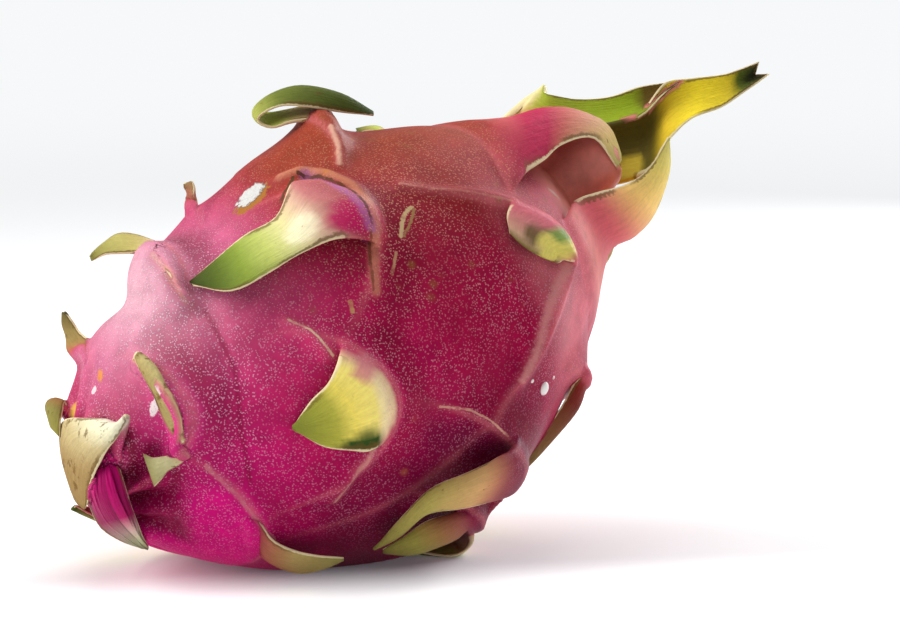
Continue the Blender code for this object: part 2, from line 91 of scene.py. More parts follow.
def turn_from(around, middle):
    """The signed angle from a middle, in degrees."""
    return (around - middle + 180) % 360 - 180


print("soft step:", smooth(0, 1, np.array([0, 0.25, 0.5, 1])), "turn:", turn_from(350, 0))

# %% [markdown]
# ## The rind's outline
#
# A sculptor would start from an egg and push it about. Here the outline is a formula: the
# radius along the axis is a power of a sine, blunter at the crown than at the stalk, and it
# runs into a narrow neck among the crown's bracts. z runs along the fruit's axis from stalk
# to crown, and "around" is the angle about that axis: 0 on top, 90 on the near side.

# %% The outline as a function
# lengths in mm, angles in degrees
BODY_RADIUS = 43.6
HALF_LENGTH = 61.0
TILT = 26.0
CENTRE_HEIGHT = 44.6
ORIGIN_X = 28.5
ORIGIN_Y = -0.1
STALK_TAPER = 1.40
CROWN_TAPER = 1.10
TOP_FLATTENING = 4.0
SHOULDER_FLATTENING = 1.6
NECK_RADIUS = 9.5
NECK_END = 75.0
NECK_LEAN = 9.0
NECK_LEAN_START = 46.0
PIT_RADIUS = 6.5
PIT_DEPTH = 9.0
STALK_SCAR_RADIUS = 5.0
STALK_SCAR_DEPTH = 2.0
NECK_JOIN = 0.985  # share of the half turn at which the outline runs into the neck


def body_radius(z):
    """The radius at z: the body's width times a power of the sine, blended into the neck."""
    sine = np.sqrt(np.clip(1 - (z / HALF_LENGTH) ** 2, 0, 1))
    body = BODY_RADIUS * sine ** np.where(z < 0, STALK_TAPER, CROWN_TAPER)
    neck = NECK_RADIUS * (z > 0)
    return np.cbrt(body**3 + neck**3)


def flattening(z, around):
    """How far the top lies below the turned outline: two bell curves under a squared cosine."""
    top = np.clip(np.cos(np.radians(around + 6)), 0, 1) ** 2
    stalk_side = TOP_FLATTENING * bell(z, -14, 24)
    shoulder = SHOULDER_FLATTENING * bell(z, 30, 14)
    return top * (stalk_side + shoulder)


def neck_lean(z):
    """How far the neck leans up at z: a power of the share of the way along it."""
    return NECK_LEAN * np.clip((z - NECK_LEAN_START) / (NECK_END - NECK_LEAN_START), 0, 1) ** 1.5


def over_outline(z, around, height):
    """Points at z and around, this high over the outline. The neck leans up as it narrows."""
    turn = np.radians(around)
    out = body_radius(z) - flattening(z, around) + height
    return np.stack([out * np.cos(turn) + neck_lean(z), out * np.sin(turn), z + 0 * out], -1)


def profile(count):
    """(z, inset) of the outline, evenly spaced from the stalk scar to the crown's pit."""
    turn = np.linspace(0, NECK_JOIN * np.pi, 400)
    z = -HALF_LENGTH * np.cos(turn)
    r = body_radius(z)
    z = z + STALK_SCAR_DEPTH * np.clip(1 - r / STALK_SCAR_RADIUS, 0, 1) * (z < 0)
    neck_z = np.linspace(z[-1], NECK_END, 40)[1:]
    rim = np.linspace(0, np.pi, 16)[1:]
    middle, half = (NECK_RADIUS + PIT_RADIUS) / 2, (NECK_RADIUS - PIT_RADIUS) / 2
    z = np.concatenate([z, neck_z, NECK_END + half * np.sin(rim), [NECK_END - PIT_DEPTH] * 2])
    r = np.concatenate(
        [r, body_radius(neck_z), middle + half * np.cos(rim), [PIT_RADIUS * 0.7, 0]]
    )
    walked = np.concatenate([[0], np.cumsum(np.hypot(np.diff(z), np.diff(r)))])
    even = np.linspace(0, walked[-1], count + 1)
    z, r = np.interp(even, walked, z), np.interp(even, walked, r)
    return z, body_radius(z) - r


print("widest radius", BODY_RADIUS, "mm; radius halfway to the crown", body_radius(30.5).round(1))

# %% [markdown]
# ## Where the scales grow
#
# Each scale is a blade stretched over three rails: its two edges and its middle. A row of the
# table gives the crest that it grows from, then points along each rail as (along the axis,
# round the axis, height over the outline), from the scale's own place. Scales that stand
# free of the rind give their points in the fruit's frame instead.

# %% The table of scales
@dataclass
class Scale:
    """One leafy scale: the crest it grows from, and the rails its blade is stretched over."""

    z: float
    around: float
    rails: tuple
    root: tuple | None = (-10, 10)
    crest: float = 4.0
    arm_before: float = 0.035
    arm_after: float = 0.035
    reach: float = 21.0
    stalk_fall: float = 2.0
    crown_fall: float = 7.0
    wave: float = 0.4
    waves: float = 2.2
    swell: float = 0.25
    swell_back: float = 15
    free: bool = False


SCALES = {
    "broad_leaf": Scale(
        8.5, 46, root=(-14, 8), crest=4.2, arm_before=0.036, arm_after=0.047,
        rails=(
            ((-8, -14, 3.5), (-14.5, -10, 3), (-21.5, -10, 3.5), (-27.5, -10.5, 3.5),
             (-34.5, -11.5, 2.5)),
            ((-8, -3, 6), (-15.5, -1, 6.5), (-23, -2, 6.5), (-29.5, -3.5, 5.5), (-35, -10.5, 3)),
            ((-8.5, 4.5, 6.5), (-16, 3, 7), (-24, 2.5, 7.5), (-31.5, 0.5, 6.5), (-35, -9, 3.5)),
        ),
    ),
    "middle_flap": Scale(
        -6.5, 88, root=(-12, 8), crest=4.6, arm_before=0.03, arm_after=0.075, crown_fall=8,
        rails=(
            ((-7.5, -9.5, 5.5), (-11, -7, 5.5), (-15, -5.5, 4.5), (-19.5, -2.5, 3.5)),
            ((-4, -1, 5.5), (-9.5, -0.5, 5.5), (-14.5, -0.5, 4.5), (-20, -2, 3.5)),
            ((-9, 8, 5), (-12, 7, 5), (-16.5, 4, 4.5), (-19.5, -1, 3.5)),
        ),
    ),
    "lower_right_leaf": Scale(
        14.5, 130, root=(-8, 7), crest=5, arm_before=0.025, arm_after=0.06, reach=27,
        rails=(
            ((-7, -9.5, 7), (-14.5, -11, 7), (-22, -10.5, 6), (-29, -6, 5), (-34, 2.5, 4)),
            ((-8.5, -8, 9), (-17, -9.5, 9), (-23.5, -9.5, 8), (-29.5, -4, 6), (-34.5, 1.5, 4.5)),
            ((-12, -2, 7.5), (-18.5, -5, 7.5), (-24.5, -5.5, 6.5), (-29.5, -1, 5), (-34.5, 2, 4.5)),
        ),
    ),
    "torn_stub": Scale(
        43.5, 82, root=(-11, 4), crest=3.4, arm_before=0.062, arm_after=0.14, reach=24,
        rails=(
            ((-9, -9, 4), (-10.5, -6.5, 3)),
            ((-5.5, -4.5, 5.5), (-8.5, -2.5, 4)),
            ((-1, 2.5, 4.5), (-3, 2, 4)),
        ),
    ),
    "left_horn": Scale(
        -24, 12, root=(-12, 14), crest=4.6, arm_before=0.016, arm_after=0.016, stalk_fall=9,
        crown_fall=3, swell=0.65, swell_back=9, free=True,
        rails=(
            ((36, 1, -22), (37.5, -11, -21.5), (41, -11, -26.5), (41.5, -10.5, -30.5),
             (40.5, -9.5, -35)),
            ((37, 8.5, -25.5), (37.5, -5, -24.5), (40.5, -7, -28.5), (41, -8.5, -32),
             (40.5, -9.5, -35)),
            ((35.5, 19, -29), (37, 1.5, -26), (39, -3.5, -29.5), (40, -6, -32.5),
             (39.5, -9.5, -35)),
        ),
    ),
    "small_horn": Scale(
        -11.5, -8, root=(-4, 4), crest=1.5, reach=10, stalk_fall=4, crown_fall=4, free=True,
        rails=(
            ((40, -15, -9.5), (42, -15, -9), (43.5, -14.5, -9)),
            ((39.5, -13, -9.5), (41.5, -13, -8.5), (43.5, -13.5, -8)),
            ((39, -11, -9), (41.5, -11, -8.5), (43.5, -12.5, -7.5)),
        ),
    ),
    "low_horn": Scale(
        -45, -12, root=(-6, 6), crest=1.2, reach=12, stalk_fall=4, crown_fall=4, free=True,
        rails=(
            ((24, -16, -46.5), (28, -16, -45.5), (31.5, -15, -44.5)),
            ((24.5, -11.5, -45), (28, -13, -45), (32, -14, -44)),
            ((26, -2.5, -44), (28, -9.5, -44), (31, -12.5, -44)),
        ),
    ),
    "withered_strip": Scale(
        -39.5, 64, root=(-16, 6), crest=4, arm_before=0.009, arm_after=0.12, stalk_fall=1.5,
        crown_fall=7,
        rails=(
            ((-2.5, -14, 5), (-3.5, -15, 5)),
            ((-2, -4.5, 6), (-4.5, -4.5, 6.5)),
            ((-4.5, 5.5, 5), (-6.5, 5.5, 5)),
        ),
    ),
    "withered_curl": Scale(
        -43, 76, root=(-2, 2), crest=0,
        rails=(
            ((-2, -0.5, 3.5), (-4.5, 0, 5), (-6.5, -1, 5.5), (-7.5, -3, 4.5)),
            ((-1.5, 1, 3.5), (-5, 1, 6), (-7, 1, 6.5), (-8, 0, 5.5)),
            ((-1.5, 2, 3.5), (-5, 2.5, 5), (-7, 3.5, 5.5), (-8.5, 5, 4.5)),
        ),
    ),
    "pale_husk": Scale(
        -51, 50, root=(-5, 5), crest=2, reach=12, crown_fall=4, free=True,
        rails=(
            ((15.5, 15, -52), (16.5, 9, -54.5), (14.5, -3.5, -56.5), (9.5, -3, -60),
             (2, 4.5, -63.5)),
            ((15, 20.5, -52), (15, 18, -55.5), (12.5, 9.5, -58.5), (7.5, 4, -61), (0.5, 7, -63.5)),
            ((16.5, 21.5, -49.5), (13.5, 21.5, -53.5), (11, 19, -57), (6.5, 15, -60),
             (-0.5, 8.5, -63)),
        ),
    ),
    "wrinkled_lobe": Scale(
        -54, 60, root=(-6, 6), crest=2, reach=12, crown_fall=4, free=True,
        rails=(
            ((7, 9.5, -59), (3.5, 8.5, -61.5), (-4.5, 6, -61.5), (-10, 7, -59.5),
             (-14.5, 7, -55.5)),
            ((7.5, 15.5, -57.5), (3.5, 17.5, -60), (-2, 17, -60), (-8, 12.5, -58),
             (-14.5, 7, -55.5)),
            ((7.5, 16, -54.5), (2.5, 18, -56), (-2.5, 18.5, -56.5), (-7.5, 15.5, -56.5),
             (-14, 7, -55)),
        ),
    ),
    "left_lip": Scale(
        -53, -30, root=(-5, 5), crest=1.5, reach=10, crown_fall=4, free=True,
        rails=(
            ((18, -9.5, -55.5), (17, -9, -57.5), (14, -8, -58.5)),
            ((18, -7.5, -55), (17, -5.5, -57.5), (14, -4.5, -59)),
            ((17.5, -5.5, -54), (16, -3, -56.5), (12.5, -2, -59)),
        ),
    ),
    "floor_leaf": Scale(
        -38, 118, root=(-5, 8), crest=3, arm_before=0.015, arm_after=0.02, reach=23,
        stalk_fall=9, crown_fall=2.5,
        rails=(
            ((0, -3, 3), (1, 1, 4), (3.5, 4, 5), (6.5, 4.5, 6), (11.5, 6.5, 6)),
            ((-1, 0.5, 3), (-0.5, 5, 4), (3, 8, 4.5), (7, 8, 5.5), (11.5, 7, 6)),
            ((-1.5, 7, 2), (0.5, 11.5, 2.5), (4.5, 13, 3.5), (8, 10.5, 5), (11.5, 7, 6)),
        ),
    ),
    "under_leaf": Scale(
        5, 147, root=(-10, 7), crest=4, arm_before=0.035, arm_after=0.035,
        rails=(
            ((-6, -9.5, 3), (-13.5, -15, 5), (-19, -14, 5.5), (-23.5, -11, 5)),
            ((-5.5, -8, 5), (-13, -13, 8), (-19, -12.5, 7.5), (-23.5, -10, 5)),
            ((-3, 0.5, 4), (-10.5, -6.5, 7), (-17, -7, 6.5), (-23, -9, 5)),
        ),
    ),
    "right_edge_leaf": Scale(
        41, 146, root=(-6, 6), crest=3.5, reach=15, crown_fall=8, free=True,
        rails=(
            ((-26, 23, 39.5), (-28, 24, 35), (-31.5, 24.5, 27.5), (-36, 24.5, 18)),
            ((-29.5, 20.5, 41), (-32, 22.5, 37), (-34.5, 23.5, 28.5), (-37, 24.5, 18.5)),
            ((-32.5, 14, 42.5), (-33.5, 17.5, 37.5), (-36, 19.5, 29), (-37.5, 23, 18.5)),
        ),
    ),
    "top_hairpin": Scale(
        17.5, 0, root=(-8, 11), crest=5.5, arm_before=0.009, arm_after=0.009, stalk_fall=6,
        crown_fall=3.5, free=True,
        rails=(
            ((43.5, -7.5, 23.5), (46, -8, 22.5), (47.5, -10, 18), (49, -12, 14), (51, -11.5, 12.5),
             (51, -11, 16), (49.5, -8, 21.5), (45, -5.5, 27.5), (40, -2.5, 32)),
            ((42.5, -2.5, 23), (45, -3, 21.5), (47, -5, 16.5), (48.5, -7.5, 11), (51, -8.5, 10),
             (52.5, -7, 14.5), (51.5, -4.5, 20.5), (46.5, -2.5, 27), (40, -2.5, 32)),
            ((40, 3.5, 20.5), (44, 1.5, 20), (46.5, -0.5, 15), (47, -3.5, 10.5), (50, -4.5, 9),
             (50.5, -2, 13.5), (48, 0, 18.5), (43.5, -0.5, 25), (39.5, -1.5, 31.5)),
        ),
    ),
    "top_far_leaf": Scale(
        27.5, -34, root=(-5, 5), crest=2.5, reach=12, stalk_fall=5, crown_fall=4, free=True,
        rails=(
            ((31.5, -15.5, 37), (32.5, -22.5, 38.5), (33.5, -24, 35.5)),
            ((32, -11, 35.5), (33, -19, 37), (34, -21.5, 34)),
            ((33, -6, 34), (33, -15.5, 36), (34, -17.5, 33)),
        ),
    ),
    "hood": Scale(
        45, 18, root=(-20, 20), crest=2, arm_before=0.012, arm_after=0.012, reach=27,
        stalk_fall=12, crown_fall=4, free=True,
        rails=(
            ((20, -3.5, 58), (19.5, -5.5, 66), (16.5, -6.5, 73.5), (12, -4.5, 78.5),
             (5, 0.5, 78.5)),
            ((26.5, 11, 54.5), (24, 7.5, 64.5), (19.5, 6, 73), (13, 4.5, 78.5), (5, 6, 78)),
            ((19, 24, 47), (18.5, 20.5, 54), (18.5, 17.5, 60.5), (15, 13.5, 70), (5, 9.5, 74)),
        ),
    ),
    "crown_cup": Scale(
        49, 112, root=(-16, 16), crest=1.5, arm_before=0.004, arm_after=0.004, reach=22,
        stalk_fall=7, crown_fall=3, free=True,
        rails=(
            ((7.5, 20.5, 56.5), (5.5, 17.5, 64), (3, 14.5, 72), (2, 10.5, 80.5), (4.5, 6, 90.5)),
            ((-2.5, 19, 58.5), (-4, 15.5, 68), (-3.5, 12.5, 76), (-1, 9, 84.5), (4, 4.5, 91.5)),
            ((-10.5, 9.5, 63.5), (-11.5, 6, 73.5), (-9.5, 4, 81), (-3.5, 3, 89), (3, 3, 92)),
        ),
    ),
    "back_leaf": Scale(
        52, -66, root=(-9, 9), crest=1.5, arm_before=0.01, arm_after=0.01, reach=16,
        stalk_fall=6, crown_fall=3, free=True,
        rails=(
            ((16.5, -17.5, 69), (14.5, -15.5, 73.5), (11.5, -12, 80), (8.5, -10, 87), (7.5, -9, 94),
             (9.5, -9.5, 102)),
            ((19.5, -19.5, 72.5), (17.5, -16, 76.5), (14, -15, 82.5), (10.5, -13.5, 90),
             (9, -12, 98), (9.5, -10, 105)),
            ((22, -20.5, 78.5), (20.5, -17.5, 78.5), (16.5, -16.5, 84.5), (13.5, -15, 92),
             (12.5, -13, 99.5), (9.5, -10, 108.5)),
        ),
    ),
    "long_tip": Scale(
        72, -20, root=None, crest=0, free=True,
        rails=(
            ((0, -6.5, 70), (-1, 0.5, 79.5), (-1, 2, 86), (2, -0.5, 93.5), (2.5, -3.5, 102.5),
             (0.5, -5.5, 112), (0.5, -7.5, 121), (0.5, -9.5, 130)),
            ((10.5, -7.5, 70), (2, -9, 88), (1.5, -9, 94.5), (5, -9, 101), (5, -9, 107.5),
             (3, -9, 116.5), (2.5, -10, 121), (1.5, -10.5, 124)),
            ((15.5, -2.5, 70), (8, -10, 93.5), (9.5, -10, 98.5), (11.5, -10.5, 104),
             (9, -11, 110.5), (6, -10, 118.5), (5, -10.5, 123.5), (4, -11, 129.5)),
        ),
    ),
}

REFLEXED_RAILS = (
    ((-9, -9, 4), (-16, -8, 4.5), (-22, -6, 4), (-28, -2, 2.5)),
    ((-8, 0, 6), (-16, 0, 7), (-23, 0, 6), (-29, 0, 3)),
    ((-9, 9, 4), (-16, 8, 4.5), (-22, 6, 4), (-28, 2, 2.5)),
)
UPRIGHT_RAILS = (
    ((9, -10, 8), (19, -8, 13), (27, -2, 12)),
    ((9, 0, 11), (20, 0, 16), (29, 0, 13)),
    ((9, 10, 8), (19, 8, 13), (27, 2, 12)),
)
RESTING_RAILS = (
    ((-4, -9, 7.5), (-9, -9, 7.5), (-15, -7, 3.0)),
    ((-4, 0, 8.5), (-9, 0, 8.0), (-15, 0, 4.5)),
    ((-4, 9, 7.5), (-9, 9, 7.5), (-15, 7, 3.0)),
)
RESTING_PLACE = (10, 177)
FAR_ROWS = ((33, 192, 54, 3), (11, 206, 44, 3), (-11, 236, 50, 2), (-33, 228, 50, 2))
FAR_JITTER = 2.0
FAR_SIZE_SPREAD = 0.15
FAR_SEED = 7
UPRIGHT_PLACES = ((50, 205),)


def add_far_scales():
    """Staggered rows of scales on the far side, each shifted and sized by a seeded draw."""
    draw = np.random.default_rng(FAR_SEED)
    for row, (z, first, step, count) in enumerate(FAR_ROWS):
        for place in range(count):
            shift_z, shift_around, size = draw.uniform(-1, 1, 3)
            SCALES[f"far_{row}_{place}"] = Scale(
                z + FAR_JITTER * shift_z,
                first + step * place + FAR_JITTER * shift_around,
                np.array(REFLEXED_RAILS) * (1 + FAR_SIZE_SPREAD * size),
            )
    for place, (z, around) in enumerate(UPRIGHT_PLACES):
        SCALES[f"upright_{place}"] = Scale(
            z, around, UPRIGHT_RAILS, root=(-11, 11), crest=1.5, arm_before=0.01, arm_after=0.01,
            reach=16, stalk_fall=6, crown_fall=3,
        )
    SCALES["resting"] = Scale(*RESTING_PLACE, RESTING_RAILS, wave=0.0)


add_far_scales()
print(len(SCALES), "scales, one of them folded under the belly where the fruit rests")

# %% [markdown]
# ## The rind's relief
#
# On the real fruit the rind rises to a crest under each scale and falls away gently towards
# the stalk, so the scales look as if they were pulled out of the skin. Displacement from an
# image would be one way. Here each crest is a parabola drawn on the rind, and the height is
# a bump that falls off at its own rate on either side. Where crests cross, the higher wins.

# %% Ridges and hollows between the scales
RIDGES = {
    # points as (z, around), then height and half width in mm; a negative height is a hollow
    "crease below the horn": ([(-27, 41), (-29, 63), (-34, 80), (-36, 97)], -0.9, 2.6),
    "ridge from the flap": (
        [(-14.1, 98.6), (-16.8, 102), (-19.1, 103.7), (-23.9, 112.6)], 1.2, 1.6,
    ),
    "ridge beside the strip": ([(-39.6, 54.9), (-40.7, 67.3), (-43.6, 75.8)], 0.8, 2.2),
    "ridge over the right side": ([(43, 88.5), (34.7, 93.8), (26, 102.2), (20, 106.3)], 1.4, 1.7),
    "fold by the stalk": ([(-50.6, 57.4), (-53, 81.3), (-54.9, 119.6)], -1.4, 1.5),
    "second fold by the stalk": ([(-48.5, 69.6), (-51, 91.7), (-52.7, 121.5)], -1.5, 1.3),
    "third fold by the stalk": ([(-47, 83.6), (-49.2, 99.8), (-50.5, 123.9)], -1.2, 1.4),
    "ridge along the shoulder": (
        [(37.9, 61), (34.3, 57.1), (29.2, 51.4), (23.8, 47.2), (19, 42.2)], 1.0, 1.3,
    ),
    "free edge above the flap": (
        [(-16.6, 59.9), (-14.4, 65.4), (-13.9, 69.6), (-13.4, 74)], 1.3, 1.0,
    ),
    "ridge under the hairpin": ([(17.7, 12.4), (15.4, 20), (12.8, 25.6)], 1.0, 1.2),
    "lip round the broad leaf": (
        [(2.1, 16.9), (5.9, 19.6), (9, 26.2), (10.2, 36.2), (9.5, 45.1), (7.1, 52.6), (3, 59.5),
         (0.6, 65.5)], 0.9, 0.9,
    ),
    "groove inside that lip": (
        [(5.9, 23), (6.7, 30), (7, 37.8), (7.2, 42.7), (7, 47.8), (5.9, 52.6)], -1.4, 1.4,
    ),
    "hollow behind the horn": ([(-25, 14), (-26, 21.4), (-26.5, 28.1), (-27.2, 36)], -1.0, 2.4),
    "swoop below the horn": ([(-33.5, 17), (-35, 5), (-35.5, -12), (-34.5, -34)], -3.8, 4.8),
    "rim below the horn": ([(-27.8, 13), (-28.2, 20.4), (-28.8, 26.3), (-29, 34.3)], 1.0, 1.1),
}
print(len(RIDGES), "ridges and hollows")

# %% Crests and swellings
CREST_ROUNDING = 0.5
SWELL_WIDTH = 12.0


def aside(scale, around):
    """Signed distance in mm round the axis from a scale's middle, at the scale's own radius."""
    return np.radians(turn_from(around, scale.around)) * body_radius(np.float64(scale.z))


def crest_z(scale, y):
    """A crest is an arc open to the stalk: a parabola with an arm of its own on either side."""
    return scale.z - np.where(y < 0, scale.arm_before, scale.arm_after) * y**2


def beyond_crest(scale, z, around):
    """Distance past the crest's line towards the crown, squared up by the parabola's slope."""
    y = aside(scale, around)
    arm = np.where(y < 0, scale.arm_before, scale.arm_after)
    return y, (z - crest_z(scale, y)) / np.sqrt(1 + (2 * arm * y) ** 2)


def crest_height(scale, z, around):
    """The crest: an exponential fall on each side of its line, fading out along its arms."""
    y, beyond = beyond_crest(scale, z, around)
    away = np.sqrt(beyond**2 + CREST_ROUNDING**2) - CREST_ROUNDING
    fall = np.where(beyond > 0, scale.crown_fall, scale.stalk_fall)
    return scale.crest * np.clip(1 - (y / scale.reach) ** 2, 0, 1) ** 1.5 * np.exp(-away / fall)


def swell_height(scale, z, around):
    """The low swelling that each scale's base makes on its stalk side: a two-way bell curve."""
    y = aside(scale, around)
    back = (z - scale.z + scale.swell_back) / SWELL_WIDTH
    return scale.swell * scale.crest * np.exp(-(back**2) - (y / SWELL_WIDTH) ** 2)


# %% Pleats, ridges and waves
PLEAT_DEPTH = 1.5
PLEATS_ROUND = 13


def pleats(z, around):
    """Folds that draw the rind in round the stalk: a cosine in the angle, within a bell in z."""
    near = 0.3 + 0.7 * bell(turn_from(around, 85), 0, 40)
    turn = np.radians(around)
    folds = np.cos(PLEATS_ROUND * turn + 1.5 * np.sin(4 * turn))
    return PLEAT_DEPTH * bell(z, -54, 6) * near * folds


def ridge_distance(z, around, points):
    """Least distance in mm from each place to a chain of straight runs laid on the rind."""
    scale = np.radians(1) * body_radius(np.float64(np.mean([p[0] for p in points])))
    least = np.full(np.shape(z), 1e3)
    for (z0, a0), (z1, a1) in zip(points, points[1:]):
        dz, da = z1 - z0, (a1 - a0) * scale
        pz = z - z0
        pa = turn_from(around, a0) * scale
        t = np.clip((pz * dz + pa * da) / (dz**2 + da**2), 0, 1)
        least = np.minimum(least, np.hypot(pz - t * dz, pa - t * da))
    return least


def long_ridges(z, around):
    """Soft ridges and creases between scales: a bell curve of the distance to each chain."""
    total = np.zeros(np.shape(z))
    for points, height, width in RIDGES.values():
        total = total + height * bell(ridge_distance(z, around, points), 0, width)
    return total


def unevenness(z, around):
    """A few slow waves of unlike lengths, so that no stretch of rind is perfectly turned."""
    turn = np.radians(around)
    return (
        0.22 * np.sin(3 * turn + 0.11 * z)
        + 0.16 * np.sin(5 * turn - 0.17 * z + 1.3)
        + 0.10 * np.sin(8 * turn + 0.31 * z + 2.1)
    )


# %% The whole relief, and the skin in its place
def relief(z, around):
    """How far the rind stands off its outline: crests, swellings, pleats, ridges and waves."""
    crests = sum(crest_height(s, z, around) ** 3 for s in SCALES.values())
    swells = sum(swell_height(s, z, around) for s in SCALES.values())
    broad = np.cbrt(crests) + swells + pleats(z, around)
    fine = long_ridges(z, around) + unevenness(z, around)
    by_crown = np.clip((62 - z) / 8, 0, 1)
    by_stalk = np.clip((z + 61) / 5, 0, 1)
    return broad * by_crown + fine * (by_crown * by_stalk)


def skin(z, around, inset=0.0):
    """Points of the rind, with its relief raised square to the outline."""
    z, around, inset = np.broadcast_arrays(z, around, inset)
    step = 0.5
    slope = (body_radius(z + step) - body_radius(z - step)) / (2 * step)
    lift = relief(z, around) / np.sqrt(1 + slope**2)
    return over_outline(z, around, lift - inset) - (slope * lift)[..., None] * [0, 0, 1]


def axes_of_fruit():
    """The fruit frame's up, near and along directions, after the tilt."""
    tilt = math.radians(TILT)
    return np.array(
        [[-math.sin(tilt), 0, math.cos(tilt)], [0, -1.0, 0], [math.cos(tilt), 0, math.sin(tilt)]]
    )


FRUIT_MIDDLE = np.array([-ORIGIN_X, -ORIGIN_Y, CENTRE_HEIGHT])


def placed(points):
    """Fruit frame to scene frame, in mm: turned by the tilt and raised."""
    return points @ axes_of_fruit() + FRUIT_MIDDLE


def unplaced(points):
    """Scene frame to fruit frame: the inverse of placed."""
    return (points - FRUIT_MIDDLE) @ axes_of_fruit().T


at_crest = relief(np.float64(8.5), np.float64(46))
print("relief at the broad leaf's crest:", round(float(at_crest), 2), "mm")

# %% [markdown]
# ## Closed grids
#
# Both the rind and the blades are tubes of rings: a grid of points whose columns join up,
# closed at either end by a fan to the ring's middle. One helper turns such a grid into a
# mesh and checks its volume, so that every face points outwards.

# %% From a grid of rings to a closed mesh
def ring_faces(rings, columns):
    """Faces of a tube of rings: quads between rings, and fans to two extra end points."""
    at = np.arange(rings * columns).reshape(rings, columns)
    turned = np.roll(at, -1, axis=1)
    quads = np.stack([at[:-1], turned[:-1], turned[1:], at[1:]], -1).reshape(-1, 4)
    start, end = rings * columns, rings * columns + 1
    first = np.stack([turned[0], at[0], np.full(columns, start)], -1)
    last = np.stack([at[-1], turned[-1], np.full(columns, end)], -1)
    return quads, np.concatenate([first, last])


def tube_mesh(name, grid, values):
    """A closed mesh from a grid of rings in mm, with the named per-point values on it."""
    rings, columns = grid.shape[:2]
    quads, fans = ring_faces(rings, columns)
    points = np.concatenate([grid.reshape(-1, 3), [grid[0].mean(0), grid[-1].mean(0)]])
    triangles = np.concatenate([quads[:, :3], quads[:, [0, 2, 3]], fans])
    a, b, c = points[triangles].transpose(1, 0, 2)
    if np.einsum("ij,ij->", a, np.cross(b, c)) < 0:
        quads, fans = quads[:, ::-1], fans[:, ::-1]
    mesh = bpy.data.meshes.new(name)
    mesh.from_pydata((points * MM).tolist(), [], quads.tolist() + fans.tolist())
    for key, grid_values in values.items():
        flat = np.broadcast_to(grid_values, (rings, columns)).ravel()
        flat = np.concatenate([flat, [flat[0], flat[-1]]])
        made = mesh.attributes.new(key, "FLOAT", "POINT")
        made.data.foreach_set("value", flat.astype(np.float32))
    return mesh


def new_object(name, mesh, collection=None):
    """An object at the origin that holds this mesh."""
    made = bpy.data.objects.new(name, mesh)
    (collection or bpy.context.scene.collection).objects.link(made)
    return made


# %% [markdown]
# ## The rind
#
# The rind is the relief function sampled on a fine grid, about 0.8 mm between points, so a
# crest stays crisp. It is pressed flat where it touches the table, as a ripe fruit is.

# %% The rind's mesh
BODY_COLUMNS = 300
BODY_ROWS = 222
NEAR_SIDE_SHIFT = 15.0  # degrees: columns crowd together on the near side


def rind_grid():
    """Rings of the rind from stalk to crown, with nothing below the table."""
    z, inset = profile(BODY_ROWS)
    turn = np.arange(BODY_COLUMNS) / BODY_COLUMNS
    around = 360 * turn + NEAR_SIDE_SHIFT * np.cos(2 * np.pi * turn)
    points = placed(skin(z[1:-1, None], around[None, :], inset[1:-1, None]))
    points[..., 2] = np.maximum(points[..., 2], 0)
    return points


no_scale = {"share": -1, "across": 0, "kind": -1}
rind = new_object("dragon_fruit", tube_mesh("dragon_fruit", rind_grid(), no_scale))
print("rind:", len(rind.data.vertices), "points")

# %% [markdown]
# ## The blades
#
# A blade is a leaf with real thickness: fleshy at its root and about a millimetre at its
# edge. Its middle surface is a parabola across the three rails and a smooth curve along
# them. Walking round its cross-section, a point sits half the thickness above or below that
# surface, and the thickness rounds off at the edges. Its first rows lie inside the crest.

# %% Blades as thick curved sheets
EDGE_THICKNESS = 0.95
ROOT_THICKNESS = 2.8
TIP_THICKNESS = 0.6
ROOT_SINK = 3.0
REST_DEPTH = 0.05
ROWS_PER_KNOT = 5
BLADE_COLUMNS = 14


def along_curve(knots, share):
    """Points at shares of the way along a smooth curve through knots (Catmull-Rom)."""
    slopes = np.gradient(knots, axis=0)
    at = np.asarray(share) * (len(knots) - 1)
    span = np.clip(at.astype(int), 0, len(knots) - 2)
    t = (at - span).reshape(-1, *[1] * (knots.ndim - 1))
    return (
        knots[span] * (1 + 2 * t) * (1 - t) ** 2
        + slopes[span] * t * (1 - t) ** 2
        + knots[span + 1] * t**2 * (3 - 2 * t)
        - slopes[span + 1] * t**2 * (1 - t)
    )


